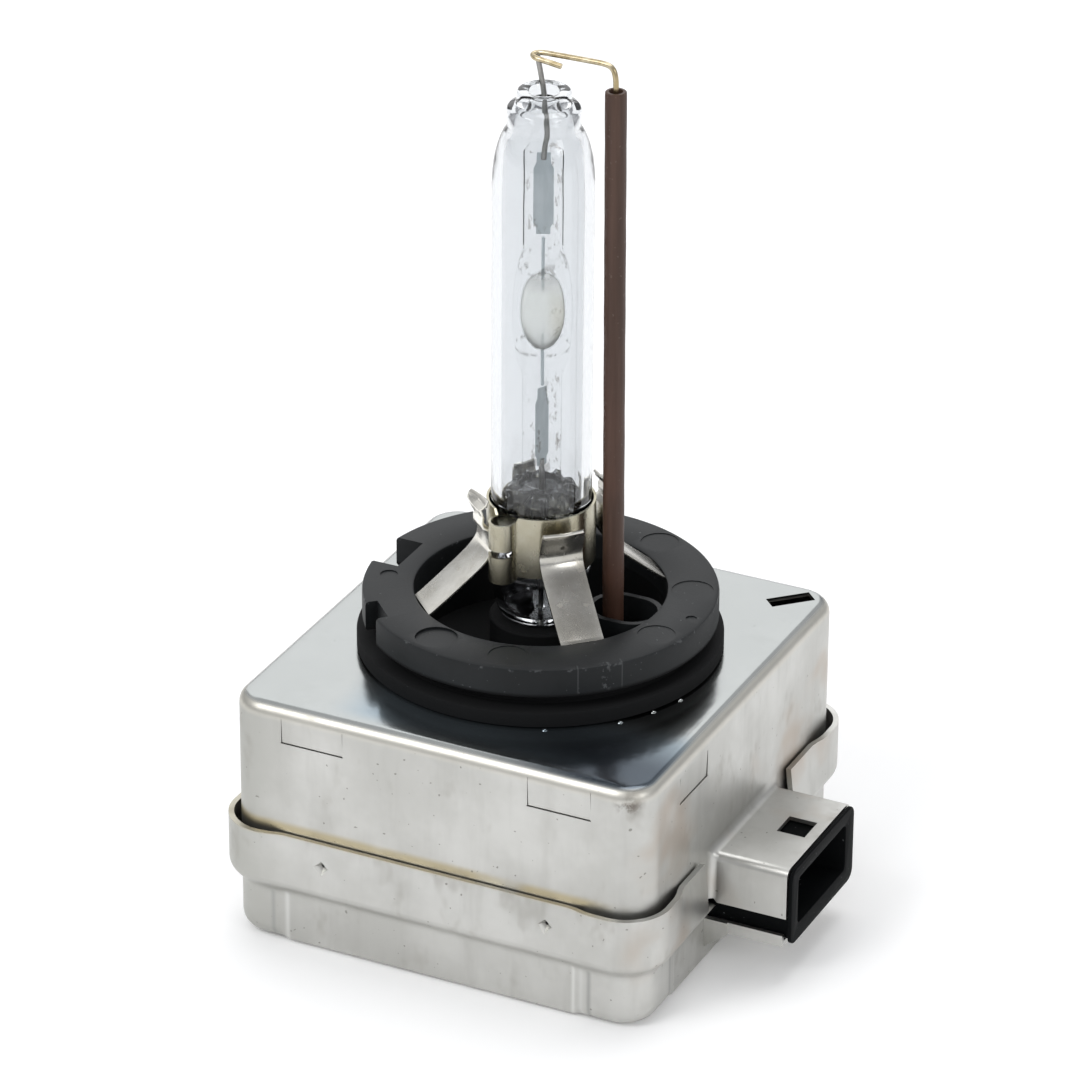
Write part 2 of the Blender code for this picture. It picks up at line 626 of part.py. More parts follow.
def make_housing():
    gap = HOOD_WALL + HOUSING_GAP
    ys, zs = grow(PORT_Y, -gap), (PORT_LOW_Z + gap, PORT_TOP_Z - gap)
    frame_x = (PORT_END_X + HOUSING_GAP, PORT_END_X + FRAME_THICKNESS)
    housing = block("connector_housing", (HOUSING_BACK_X, frame_x[0] + OVERLAP), ys, zs)
    rim = block("mouth_frame", frame_x, PORT_Y, (PORT_LOW_Z, PORT_TOP_Z))
    apply_boolean(housing, place_cutter(rim), "UNION")
    mouth = block("mouth", (MOUTH_BACK_X, PORT_END_X + CUT_PAST), MOUTH_Y, MOUTH_Z)
    apply_boolean(housing, place_cutter(mouth))
    for i, y in enumerate(pin_positions(), start=1):
        way = block("pin_way_%d" % i, (HOUSING_BACK_X - CUT_PAST, MOUTH_BACK_X + CUT_PAST),
                    grow((y, y), PIN_SIZE / 2 + GAP), grow((sum(MOUTH_Z) / 2,) * 2, PIN_SIZE / 2 + GAP))
        apply_boolean(housing, place_cutter(way))
    place_part(housing, "black", smooth=False)


def make_pins():
    level = sum(MOUTH_Z) / 2
    for i, y in enumerate(pin_positions(), start=1):
        pin = block("connector_pin_%d" % i, PIN_X, grow((y, y), PIN_SIZE / 2),
                    grow((level, level), PIN_SIZE / 2))
        place_part(pin, "nickel", smooth=False)


# ---- igniter ----

def make_igniter_frame():
    frame = block("igniter_frame", FRAME_X, FRAME_Y, FRAME_Z, FRAME_CORNER_R, 3)
    inside = block("frame_inside", grow(FRAME_X, -FRAME_WALL), grow(FRAME_Y, -FRAME_WALL),
                   (FRAME_Z[0] - CUT_PAST, FRAME_Z[1] - FRAME_WALL), FRAME_CORNER_R - FRAME_WALL, 3)
    apply_boolean(frame, place_cutter(inside))
    for name, x, radius in (("lead_way", 0, LEAD_WAY_R), ("return_way", RETURN_X, RETURN_WAY_R)):
        way = rod(name, radius, 2 * CUT_PAST, (x, 0, FRAME_Z[1]), segments=16)
        apply_boolean(frame, place_cutter(way))
    place_part(frame, "black", smooth=False)


def make_board():
    board = block("circuit_board", FRAME_X, FRAME_Y, BOARD_Z, FRAME_CORNER_R, 3)
    place_part(board, "board", smooth=False)


def make_transformer():
    place_part(rod("transformer_core", CORE_R, CORE_LENGTH, COIL_CENTRE, "Y", 24), "ferrite")
    half = BOBBIN_LENGTH / 2
    rim = BOBBIN_RIM
    bobbin = [(BOBBIN_BORE_R, half), (BOBBIN_FLANGE_R, half), (BOBBIN_FLANGE_R, half - rim),
              (BOBBIN_BODY_R, half - rim), (BOBBIN_BODY_R, -half + rim),
              (BOBBIN_FLANGE_R, -half + rim), (BOBBIN_FLANGE_R, -half), (BOBBIN_BORE_R, -half)]
    place_part(turned("bobbin", bobbin, COIL_CENTRE, "Y", 32), "black")
    reach = half - rim - GAP
    low = BOBBIN_BODY_R + GAP
    secondary = [(low, reach), (SECONDARY_R, reach), (SECONDARY_R, -reach), (low, -reach)]
    place_part(turned("secondary_winding", secondary, COIL_CENTRE, "Y", 32), "copper")
    reach = PRIMARY_LENGTH / 2
    low = BOBBIN_FLANGE_R + GAP
    primary = [(low, reach), (PRIMARY_R, reach), (PRIMARY_R, -reach), (low, -reach)]
    place_part(turned("primary_winding", primary, COIL_CENTRE, "Y", 32), "copper")


def make_spark_gap():
    place_part(rod("spark_gap_body", SPARK_R, SPARK_LENGTH, SPARK_CENTRE, "X", 24), "ceramic")
    for number, side in ((1, -1), (2, 1)):
        away = SPARK_LENGTH / 2 + GAP + SPARK_CAP_LENGTH / 2
        centre = Vector(SPARK_CENTRE) + Vector((side * away, 0, 0))
        cap = rod("spark_gap_cap_%d" % number, SPARK_CAP_R, SPARK_CAP_LENGTH, centre, "X", 24)
        place_part(cap, "steel")


def make_board_parts():
    xs, ys, zs = (grow((c, c), s / 2) for c, s in zip(CAPACITOR_CENTRE, CAPACITOR_SIZE))
    place_part(block("capacitor", xs, ys, zs, CAPACITOR_CORNER_R, 2), "film", smooth=False)
    place_part(rod("resistor", RESISTOR_R, RESISTOR_LENGTH, RESISTOR_CENTRE, "X", 20), "ceramic")


def make_terminals():
    top = SPIGOT_LOW_Z - GAP
    low = top - TERMINAL_LENGTH
    profile = [(TERMINAL_BORE_R, top), (TERMINAL_R, top), (TERMINAL_R, low), (TERMINAL_BORE_R, low)]
    place_part(turned("high_voltage_terminal", profile, segments=20), "steel")
    place_part(turned("return_terminal", profile, (RETURN_X, 0, 0), segments=20), "steel")


make_envelope()
make_arc_tube()
make_electrodes()
make_foils()
make_leads()
make_return_wire()
make_sleeve()
make_clamp()
make_straps()
make_base()
make_upper_can()
make_lower_can()
make_housing()
make_pins()
make_igniter_frame()
make_board()
make_transformer()
make_spark_gap()
make_board_parts()
make_terminals()
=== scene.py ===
import math

import bmesh
import bpy
from mathutils import Matrix, Vector


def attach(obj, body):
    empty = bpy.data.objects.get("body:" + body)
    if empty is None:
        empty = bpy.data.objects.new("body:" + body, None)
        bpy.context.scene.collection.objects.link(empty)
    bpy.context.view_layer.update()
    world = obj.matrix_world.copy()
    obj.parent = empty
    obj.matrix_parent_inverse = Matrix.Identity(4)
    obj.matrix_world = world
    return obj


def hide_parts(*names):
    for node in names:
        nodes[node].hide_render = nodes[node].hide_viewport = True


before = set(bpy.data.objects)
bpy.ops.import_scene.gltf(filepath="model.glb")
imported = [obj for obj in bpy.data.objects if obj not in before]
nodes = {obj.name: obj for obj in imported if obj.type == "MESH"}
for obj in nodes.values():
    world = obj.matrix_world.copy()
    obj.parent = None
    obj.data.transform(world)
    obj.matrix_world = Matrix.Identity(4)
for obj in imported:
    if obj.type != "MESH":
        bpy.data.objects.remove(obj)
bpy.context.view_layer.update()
mm = 0.001
print("frame loaded:", len(nodes), "solids")

cameraPlace = {"azimuth": 25.711, "elevation": 27.229, "roll": 0.392, "distance": 510.13, "lens": 190.855,
               "side": -0.098, "height": 34.1}


def addCamera(place):
    a, e, r = (math.radians(place[k]) for k in ("azimuth", "elevation", "roll"))
    back = Vector((math.sin(a) * math.cos(e), -math.cos(a) * math.cos(e), math.sin(e)))
    right = Vector((math.cos(a), math.sin(a), 0))
    up = back.cross(right)
    across = right * math.cos(r) + up * math.sin(r)
    upright = up * math.cos(r) - right * math.sin(r)
    aim = (right * place["side"] + Vector((0, 0, place["height"]))) * mm
    data = bpy.data.cameras.new("camera")
    data.sensor_width = 36
    data.lens = place["lens"]
    data.clip_start, data.clip_end = 0.01, 20
    camera = bpy.data.objects.new("camera", data)
    bpy.context.scene.collection.objects.link(camera)
    turn = Matrix((across, upright, back)).transposed().to_4x4()
    camera.matrix_world = Matrix.Translation(aim + back * place["distance"] * mm) @ turn
    bpy.context.scene.camera = camera


# position, the point it looks at, size and watts of each soft box
softBoxes = {
    "keyBox": ((-0.34, -0.62, 0.72), (0, 0, 0.03), 0.40, 2.9),
    "sideBox": ((0.75, -0.25, 0.42), (0, 0, 0.02), 0.30, 1.0),
    "topBox": ((0.05, 0.25, 0.95), (0, 0, 0.02), 0.50, 2.2),
    "backBox": ((-0.50, 0.80, 0.50), (0, 0, 0.03), 0.90, 2.2),
}


def addLights(boxes):
    for name, (place, aim, size, power) in boxes.items():
        data = bpy.data.lights.new(name, "AREA")
        data.shape = "SQUARE"
        data.size, data.energy = size, power
        light = bpy.data.objects.new(name, data)
        bpy.context.scene.collection.objects.link(light)
        way = Vector(aim) - Vector(place)
        light.matrix_world = Matrix.Translation(place) @ way.to_track_quat("-Z", "Y").to_matrix().to_4x4()


class Wire:  # a socket; sums written with it become nodes
    def __init__(self, tree, socket=None):
        self.tree, self.socket = tree, socket

    def node(self, kind, settings=None, values=None, out=0):
        made = self.tree.nodes.new(kind)
        for name, value in (settings or {}).items():
            if name == "stops":
                ramp = made.color_ramp
                while len(ramp.elements) < len(value):
                    ramp.elements.new(0.5)
                for stop, (place, shade) in zip(ramp.elements, value):
                    stop.position, stop.color = place, (*shade, 1)
            else:
                setattr(made, name, value)
        for name, value in (values or {}).items():
            if isinstance(value, Wire):
                self.tree.links.new(value.socket, made.inputs[name])
            elif value is not None:
                made.inputs[name].default_value = value
        return Wire(self.tree, made.outputs[out])

    def maths(self, operation, *values):
        return self.node("ShaderNodeMath", {"operation": operation}, dict(enumerate(values)))

    def __add__(self, other):
        return self.maths("ADD", self, other)

    def __sub__(self, other):
        return self.maths("SUBTRACT", self, other)

    def __rsub__(self, other):
        return self.maths("SUBTRACT", other, self)

    def __mul__(self, other):
        return self.maths("MULTIPLY", self, other)

    __radd__, __rmul__ = __add__, __mul__

    def ramp(self, low, high):  # 0 below low, 1 above high, smooth between
        return self.node("ShaderNodeMapRange", {"interpolation_type": "SMOOTHSTEP"},
                         {"Value": self, "From Min": low, "From Max": high})

    def stripe(self, middle, half, soft):  # 1 within half of the middle
        away = self.maths("ABSOLUTE", self - middle)
        return 1 - away.ramp(half - soft, half + soft)

    def tint(self, first, second):  # mixes two colours by this value
        first, second = (shade if isinstance(shade, Wire) else (*shade, 1.0) for shade in (first, second))
        return self.node("ShaderNodeMix", {"data_type": "RGBA"}, {0: self, 6: first, 7: second}, 2)

    def noise(self, scale, detail=3.0, rough=0.55, stretch=(1, 1, 1), shift=(0, 0, 0)):
        place = self.node("ShaderNodeMapping", {}, {"Vector": self, "Scale": stretch, "Location": shift})
        values = {"Vector": place, "Scale": scale, "Detail": detail, "Roughness": rough}
        return self.node("ShaderNodeTexNoise", {}, values)

    def bump(self, strength, distance, after=None):
        values = {"Height": self, "Strength": strength, "Distance": distance, "Normal": after}
        return self.node("ShaderNodeBump", {}, values)


def newFinish(name, fixed):
    # a material, its shader and the place on the object; fixed values sit on the shader's own sockets
    material = bpy.data.materials.new(name)
    material.use_nodes = True
    tree = material.node_tree
    shader = tree.nodes["Principled BSDF"]
    for socket, value in fixed.items():
        shader.inputs[socket].default_value = value
    place = Wire(tree).node("ShaderNodeTexCoord", {}, {}, "Object")
    return material, shader, place


def plug(shader, links):
    for socket, wire in links.items():
        wire.tree.links.new(wire.socket, shader.inputs[socket])


def axes(place):
    return [place.node("ShaderNodeSeparateXYZ", {}, {"Vector": place}, k) for k in "XYZ"]


def squaredAway(place, point):  # squared distance from a point given in mm
    away = [(axis - at * mm) * (axis - at * mm) for axis, at in zip(axes(place), point)]
    return away[0] + away[1] + away[2]


def spoke(x, y, degrees):  # across and along a line that leaves the upright axis
    c, s = math.cos(math.radians(degrees)), math.sin(math.radians(degrees))
    return x * -s + y * c, x * c + y * s


def tinnedSteelFinish(name, top=24.0, rim=11.6, foldLightAndShade=()):
    # top, rim: height of the can's flat top and of the seam line, mm
    material, shader, place = newFinish(name, {"Metallic": 1.0, "IOR": 1.5})
    x, y, z = axes(place)
    onTop = z.ramp((top - 0.35) * mm, (top - 0.05) * mm)
    onSide = 1 - onTop
    clouds = place.noise(110, 4, 0.6)
    streaks = place.noise(420, 3, 0.6, stretch=(1, 1, 0.16))
    grain = place.noise(2600, 2, 0.6, stretch=(1, 1, 0.35))
    spots = place.noise(1900, 1, 0.4).ramp(0.755, 0.785)
    smudges = place.noise(230, 3, 0.7, stretch=(1, 1, 0.6), shift=(3, 1, 2)).ramp(0.56, 0.72)
    base = clouds.ramp(0.35, 0.68).tint((0.515, 0.512, 0.487), (0.605, 0.602, 0.578))
    base = (streaks.ramp(0.45, 0.75) * 0.35).tint(base, (0.42, 0.415, 0.39))
    leftShade = x.ramp(-13.0 * mm, -19.5 * mm) * onSide
    base = (leftShade * 0.62).tint(base, (0.36, 0.36, 0.33))
    base = (smudges * 0.35).tint(base, (0.40, 0.385, 0.35))
    seam = z.stripe((rim + 0.45) * mm, 0.42 * mm, 0.34 * mm) * place.noise(160, 2, 0.5).ramp(0.25, 0.50)
    seam = seam * (1 - x.ramp(17.5 * mm, 19.5 * mm))
    base = (seam * 0.75).tint(base, (0.48, 0.41, 0.25))
    browned = place.noise(75, 3, 0.6, shift=(0, 4, 7)).ramp(0.55, 0.72)
    browned = browned * x.ramp(18.0 * mm, 20.4 * mm) * onSide
    base = (browned * 0.6).tint(base, (0.45, 0.37, 0.30))
    away = squaredAway(place, (18.6, -20.9, 22.7))
    scuff = 1 - away.maths("SQRT", away).ramp(0.3 * mm, 1.7 * mm)
    scuff = scuff * place.noise(900, 3, 0.7).ramp(0.35, 0.6)
    base = (scuff * 0.85).tint(base, (0.10, 0.075, 0.055))
    base = (spots * 0.6).tint(base, (0.16, 0.15, 0.13))
    below = 1 - z.ramp(5.0 * mm, 5.6 * mm)
    # painted highlight on one side of each pressed crease beside the feet and painted shade on the other
    for middle, shade in foldLightAndShade:
        for along, across, reach in ((x, y, 20.0), (y, x, 19.6)):
            onWall = across.maths("ABSOLUTE", across).ramp((reach - 0.3) * mm, reach * mm)
            line = along.stripe(middle * mm, 0.16 * mm, 0.22 * mm) * onWall * below
            base = (line * 0.75).tint(base, (shade, shade, shade * 0.97))
    # painted highlight: the rolled top edge of the walls is painted lighter and warmer
    rolled = z.ramp((top - 1.5) * mm, (top - 0.8) * mm) * onSide
    base = (rolled * 0.6).tint(base, (0.64, 0.615, 0.545))
    # painted shade: the flat top is painted darker than the walls of the same sheet
    base = (onTop * 0.85).tint(base, (0.36, 0.378, 0.375))
    # painted reflection: a navy band on the top near its front edge, a little less metallic, stands in for
    # the black ring mirrored there
    paintedBlueReflection = x.ramp(-12.0 * mm, -7.0 * mm) * y.ramp(-9.0 * mm, -13.0 * mm)
    paintedBlueReflection = paintedBlueReflection * y.ramp(-21.0 * mm, -18.6 * mm) * onTop
    base = (paintedBlueReflection * 0.75).tint(base, (0.265, 0.335, 0.385))
    # painted reflection: the top towards the front right corner is painted nearly black, standing in for a
    # dark thing mirrored there
    corner = x.ramp(1.0 * mm, 15.0 * mm) * y.ramp(-9.0 * mm, -17.5 * mm) * onTop
    base = (corner * 0.93).tint(base, (0.050, 0.062, 0.078))
    rough = 0.34 + streaks * 0.10 + smudges * 0.12 + grain * 0.05
    rough = rough * onSide + (0.13 + clouds * 0.08) * onTop
    height = grain * 0.5 + streaks * 0.5
    soft = clouds.bump(0.20, 0.25 * mm)
    plug(shader, {"Base Color": base, "Roughness": rough, "Metallic": 1 - paintedBlueReflection * 0.06,
                  "Normal": height.bump(0.10, 0.05 * mm, soft)})
    return material


def blackPlasticFinish(name, ring=False, gloss=0.26, deep=1.0):
    material, shader, place = newFinish(name, {"IOR": 1.5, "Specular IOR Level": gloss})
    x, y, z = axes(place)
    clouds = place.noise(160, 3, 0.6)
    grain = place.noise(5200, 2, 0.6)
    dust = place.noise(2600, 1, 0.4).ramp(0.745, 0.79)
    low, high = (0.0085, 0.0098, 0.0105), (0.0135, 0.0152, 0.0165)
    base = clouds.ramp(0.3, 0.7).tint([v * deep for v in low], [v * deep for v in high])
    if ring:
        edge = z.stripe(29.40 * mm, 0.10 * mm, 0.10 * mm) * place.noise(1100, 2, 0.7).ramp(0.57, 0.66)
        edge = edge * (x * x + y * y).ramp((15.45 * mm) ** 2, (15.65 * mm) ** 2)
        dust = dust.maths("MAXIMUM", dust, edge)
        for angle in (-52.4, -37.7):  # fine mould lines down the rim
            across, outwards = spoke(x, y, angle)
            line = across.stripe(0, 0.05 * mm, 0.04 * mm) * outwards.ramp(15.3 * mm, 15.6 * mm)
            dust = dust.maths("MAXIMUM", dust, line * 0.7)
        across, outwards = spoke(x, y, -43.2)
        rubbed = across.stripe(0, 0.35 * mm, 0.25 * mm) * outwards.ramp(15.3 * mm, 15.6 * mm)
        rubbed = rubbed * place.noise(2400, 2, 0.6).ramp(0.50, 0.60)
        dust = dust.maths("MAXIMUM", dust, rubbed)
    base = (dust * 0.5).tint(base, (0.12, 0.125, 0.13))
    rough = 0.40 + clouds * 0.12 + grain * 0.06
    if ring:  # painted shade: below the rim the neck and the well are painted nearly black and duller
        shade = 1 - (z.ramp(26.95 * mm, 27.3 * mm) * 0.97)
        base = shade.tint(base, (0.0035, 0.0038, 0.0042))
        rough = rough + shade * 0.35
    soft = clouds.bump(0.10, 0.10 * mm)
    plug(shader, {"Base Color": base, "Roughness": rough, "Normal": grain.bump(0.16, 0.03 * mm, soft)})
    return material


def springSteelFinish(name, warm=0.0, light=1.0, weld=None):
    # warm: how far it leans to straw yellow; weld: place of a spot weld, mm
    material, shader, place = newFinish(name, {"Metallic": 1.0, "IOR": 1.5})
    drawn = place.noise(1900, 3, 0.6, stretch=(1, 1, 0.12))
    clouds = place.noise(260, 3, 0.6)
    stains = place.noise(800, 2, 0.6, shift=(2, 2, 2)).ramp(0.63, 0.76)
    low = (0.50, 0.48 - 0.02 * warm, 0.43 - 0.10 * warm)
    high = (0.64, 0.625 - 0.02 * warm, 0.58 - 0.10 * warm)
    base = clouds.ramp(0.3, 0.7).tint([v * light for v in low], [v * light for v in high])
    base = (stains * 0.25).tint(base, (0.42, 0.37, 0.29))
    if weld:  # the spot weld that holds the tab to the band
        spot = 1 - squaredAway(place, weld).ramp((0.12 * mm) ** 2, (0.30 * mm) ** 2)
        base = (spot * 0.8).tint(base, (0.10, 0.09, 0.08))
    rough = 0.22 + drawn * 0.08 + stains * 0.10
    plug(shader, {"Base Color": base, "Roughness": rough, "Normal": drawn.bump(0.05, 0.03 * mm)})
    return material


def wireFinish(name, low, high):
    material, shader, place = newFinish(name, {"Metallic": 1.0, "IOR": 1.5})
    drawn = place.noise(1500, 3, 0.6, stretch=(1, 1, 0.3))
    base = drawn.ramp(0.35, 0.7).tint(low, high)
    rough = 0.22 + drawn * 0.16
    plug(shader, {"Base Color": base, "Roughness": rough, "Normal": drawn.bump(0.15, 0.03 * mm)})
    return material


def ceramicFinish(name):
    material, shader, place = newFinish(name, {"IOR": 1.55, "Specular IOR Level": 0.33})
    z = axes(place)[2]
    drawn = place.noise(950, 4, 0.65, stretch=(1, 1, 0.05))
    grain = place.noise(4200, 2, 0.6)
    redder = z.ramp(62 * mm, 30 * mm) * place.noise(120, 2, 0.5).ramp(0.35, 0.65)
    base = drawn.ramp(0.35, 0.65).tint((0.049, 0.023, 0.014), (0.074, 0.038, 0.025))
    base = (redder * 0.5).tint(base, (0.095, 0.040, 0.026))
    specks = place.noise(2600, 1, 0.5).ramp(0.70, 0.75)
    base = (specks * 0.3).tint(base, (0.16, 0.12, 0.10))
    rough = 0.42 + grain * 0.14
    height = grain * 0.6 + drawn * 0.7
    plug(shader, {"Base Color": base, "Roughness": rough, "Normal": height.bump(0.25, 0.04 * mm)})
    return material


def quartzFinish(name, tone=(0.800, 0.816, 0.830), bend=1.46, marked=None):
    # marked: height of the chamber's middle, mm, on the piece whose stems carry marks
    material, shader, place = newFinish(name, {"Transmission Weight": 1.0, "IOR": bend})
    haze = place.noise(260, 3, 0.6, stretch=(1, 1, 0.25))
    base = haze.ramp(0.3, 0.75).tint(tone, [t * 0.985 for t in tone])
    # painted shade: the glass is tinted grey where it turns away at its outline
    rim = place.node("ShaderNodeLayerWeight", {}, {"Blend": 0.5}, "Facing").ramp(0.80, 1.0)
    base = (rim * 0.6).tint(base, (0.42, 0.44, 0.46))
    if marked:
        z = axes(place)[2]
        # brown film left on the stems, away from the chamber
        stem = 1 - z.stripe(marked * mm, 6.0 * mm, 0.8 * mm)
        marks = place.noise(620, 4, 0.75, stretch=(1, 1, 0.45)).ramp(0.575, 0.64) * stem
        base = (marks * 0.75).tint(base, (0.22, 0.19, 0.16))
        # pinch marks just below and above the chamber
        below = z.stripe((marked - 3.2) * mm, 0.16 * mm, 0.14 * mm)
        pinched = below + z.stripe((marked + 4.8) * mm, 0.45 * mm, 0.30 * mm)
        pinched = pinched * place.noise(1100, 3, 0.7, stretch=(1, 1, 0.6)).ramp(0.50, 0.60)
        base = (pinched * 0.8).tint(base, (0.16, 0.15, 0.13))
    rough = 0.012 + haze.ramp(0.55, 0.8) * 0.02
    plug(shader, {"Base Color": base, "Roughness": rough, "Normal": haze.bump(0.03, 0.20 * mm)})
    return material


def foilFinish(name):
    material, shader, place = newFinish(name, {"Metallic": 0.65, "IOR": 1.5})
    rolled = place.noise(900, 3, 0.6, stretch=(1, 1, 0.3))
    base = rolled.ramp(0.3, 0.7).tint((0.66, 0.73, 0.75), (0.82, 0.88, 0.90))
    rough = 0.42 + rolled * 0.2
    plug(shader, {"Base Color": base, "Roughness": rough, "Normal": rolled.bump(0.2, 0.05 * mm)})
    return material


def saltFinish(name, centre):
    # a milky film on the chamber wall, thicker and speckled on one side; it glows faintly in its own colour,
    # painted light
    material, shader, place = newFinish(name, {"IOR": 1.4, "Roughness": 0.6, "Emission Strength": 0.33})
    x, y, z = axes(place)
    grain = place.noise(2300, 3, 0.7)
    side = (x * 0.90 + y * 0.43).ramp(0.0 * mm, 1.3 * mm) * z.stripe((centre - 0.6) * mm, 1.9 * mm, 1.1 * mm)
    dark = grain.ramp(0.52, 0.62) * side
    ends = z.stripe(centre * mm, 2.9 * mm, 0.9 * mm)
    base = (side * 0.6).tint((0.94, 0.95, 0.90), (0.86, 0.83, 0.70))
    base = (dark * 0.75).tint(base, (0.36, 0.33, 0.25))
    # painted shade: the film is darker where it turns away at its outline, over a wider band on its lower
    # half
    facing = place.node("ShaderNodeLayerWeight", {}, {"Blend": 0.5}, "Facing")
    rim = facing.ramp(0.52, 0.92) * 0.75
    foot = facing.ramp(0.20, 0.62) * z.ramp((centre - 0.4) * mm, (centre - 2.6) * mm)
    rim = rim.maths("MAXIMUM", rim, foot)
    base = (rim * 0.9).tint(base, (0.16, 0.165, 0.16))
    base = (1 - ends).tint(base, (0.42, 0.42, 0.41))
    alpha = 0.36 + side * 0.25 + rim * 0.50 + grain * 0.08
    # painted light: the film's colour also feeds its glow
    plug(shader, {"Base Color": base, "Emission Color": base, "Alpha": alpha,
                  "Normal": grain.bump(0.4, 0.05 * mm)})
    return material


def plainFinish(name, low, high, scale=600.0, rough=0.5, metallic=0.0, stretch=(1, 1, 1)):
    # for what sits out of sight in the can
    material, shader, place = newFinish(name, {"Metallic": metallic, "IOR": 1.5})
    grain = place.noise(scale, 4, 0.6, stretch=stretch)
    base = grain.ramp(0.3, 0.7).tint(low, high)
    rough = rough + grain * 0.15
    plug(shader, {"Base Color": base, "Roughness": rough, "Normal": grain.bump(0.2, 0.05 * mm)})
    return material


def dropSelection():
    for obj in list(bpy.context.selected_objects):
        obj.select_set(False)


def choose(obj):
    dropSelection()
    obj.select_set(True)
    bpy.context.view_layer.objects.active = obj


def openMesh(obj):
    choose(obj)
    bpy.ops.object.mode_set(mode="EDIT")


def pickAll():
    bpy.ops.mesh.select_all(action="SELECT")


def faceOut():  # all faces are turned to point out
    pickAll()
    bpy.ops.mesh.normals_make_consistent(inside=False)


def closeMesh(outwards=False):
    if outwards:
        faceOut()
    bpy.ops.object.mode_set(mode="OBJECT")


def shift(x, y, z):  # moves what is selected, mm
    bpy.ops.transform.translate(value=(x * mm, y * mm, z * mm))


def slide(axis, length):  # moves what is selected along one axis, mm
    move = [0, 0, 0]
    move[axis] = length
    shift(*move)


def extrudeBy(x, y, z):  # extrudes the selected edges, mm
    bpy.ops.mesh.extrude_edges_move(TRANSFORM_OT_translate={"value": (x * mm, y * mm, z * mm)})


def pick(obj, what, test, add=False):
    # in edit mode, selects the items that pass; test gets the middle and the normal, or an edge's direction
    bpy.ops.mesh.select_mode(type=what)
    if not add:
        bpy.ops.mesh.select_all(action="DESELECT")
    shape = bmesh.from_edit_mesh(obj.data)
    count = 0
    if what == "FACE":
        for face in shape.faces:
            if test(face.calc_center_median() / mm, face.normal):
                face.select_set(True)
                count += 1
    elif what == "EDGE":
        for edge in shape.edges:
            a, b = edge.verts[0].co, edge.verts[1].co
            if test((a + b) / 2 / mm, (b - a).normalized()):
                edge.select_set(True)
                count += 1
    else:
        for vert in shape.verts:
            if test(vert.co / mm, vert.normal):
                vert.select_set(True)
                count += 1
    shape.select_flush_mode()
    bmesh.update_edit_mesh(obj.data)
    return count


def settle(obj):
    # the object's place goes into its mesh
    choose(obj)
    bpy.ops.object.transform_apply(location=True, rotation=True, scale=True)


def newBlock(name, low, high):
    low, high = Vector(low) * mm, Vector(high) * mm
    dropSelection()
    bpy.ops.mesh.primitive_cube_add(size=1, location=(low + high) / 2, scale=high - low)
    obj = bpy.context.active_object
    obj.name = name
    settle(obj)
    return obj


def newTurned(name, profile, centre=(0, 0), sides=96, closed=True):
    # a circle drawn along a profile of (radius, height), mm
    spot = Vector((centre[0], centre[1], 0)) * mm
    dropSelection()
    bpy.ops.mesh.primitive_circle_add(vertices=sides, radius=profile[0][0] * mm,
                                      location=spot + Vector((0, 0, profile[0][1] * mm)))
    obj = bpy.context.active_object
    obj.name = name
    settle(obj)
    openMesh(obj)
    pickAll()
    path = list(profile) + ([profile[0]] if closed else [])
    for (r, z), (nextR, nextZ) in zip(path, path[1:]):
        extrudeBy(0, 0, nextZ - z)
        bpy.ops.transform.resize(value=(nextR / r, nextR / r, 1),
                                 center_override=spot + Vector((0, 0, nextZ * mm)))
    if closed:
        pickAll()
        bpy.ops.mesh.remove_doubles(threshold=0.002 * mm)
    closeMesh(outwards=True)
    return obj


def closeEnds(obj, levels):
    # fills the open rims at these heights
    openMesh(obj)
    for z in levels:
        pick(obj, "EDGE", lambda at, n: abs(at.z - z) < 0.001)
        bpy.ops.mesh.edge_face_add()
    closeMesh(outwards=True)


def newDrum(name, radius, low, high, centre, sides):
    obj = newTurned(name, [(radius, low), (radius, high)], centre, sides, closed=False)
    closeEnds(obj, (low, high))
    return obj


def newRod(name, points, radius, sides=16):
    # a round wire along points, mm
    while len(points) < 6:
        points = [points[0], tuple((a + b) / 2 for a, b in zip(points[0], points[1]))] + list(points[1:])
    dropSelection()
    bpy.ops.curve.primitive_nurbs_path_add(location=(0, 0, 0))
    obj = bpy.context.active_object
    obj.name = name
    spline = obj.data.splines[0]
    spline.points.add(len(points) - len(spline.points))
    for point, place in zip(spline.points, points):
        point.co = (*(Vector(place) * mm), 1)
    spline.order_u = 3
    spline.use_endpoint_u = True
    obj.data.resolution_u = 5
    obj.data.bevel_depth = radius * mm
    obj.data.bevel_resolution = sides // 4
    obj.data.use_fill_caps = True
    bpy.ops.object.convert(target="MESH")
    obj = bpy.context.active_object
    openMesh(obj)
    pickAll()
    bpy.ops.mesh.remove_doubles(threshold=0.001 * mm)
    closeMesh(outwards=True)
    return obj


def bevelPicked(width, segments):
    bpy.ops.mesh.bevel(offset_type="OFFSET", offset=width * mm, segments=segments, profile=0.5,
                       affect="EDGES", clamp_overlap=False)


def roundAlong(obj, axis, radius, segments):  # rounds the edges that run along the axis
    pick(obj, "EDGE", lambda at, way: abs(way[axis]) > 0.9)
    bevelPicked(radius, segments)


def cutAcross(point, normal):
    bpy.ops.mesh.bisect(plane_co=Vector(point) * mm, plane_no=normal)


def applyModifiers(obj):
    choose(obj)
    for modifier in list(obj.modifiers):
        bpy.ops.object.modifier_apply(modifier=modifier.name)


def carve(obj, cutter, operation="DIFFERENCE"):
    modifier = obj.modifiers.new("carve", "BOOLEAN")
    modifier.operation, modifier.solver, modifier.object = operation, "EXACT", cutter
    applyModifiers(obj)
    bpy.data.objects.remove(cutter)


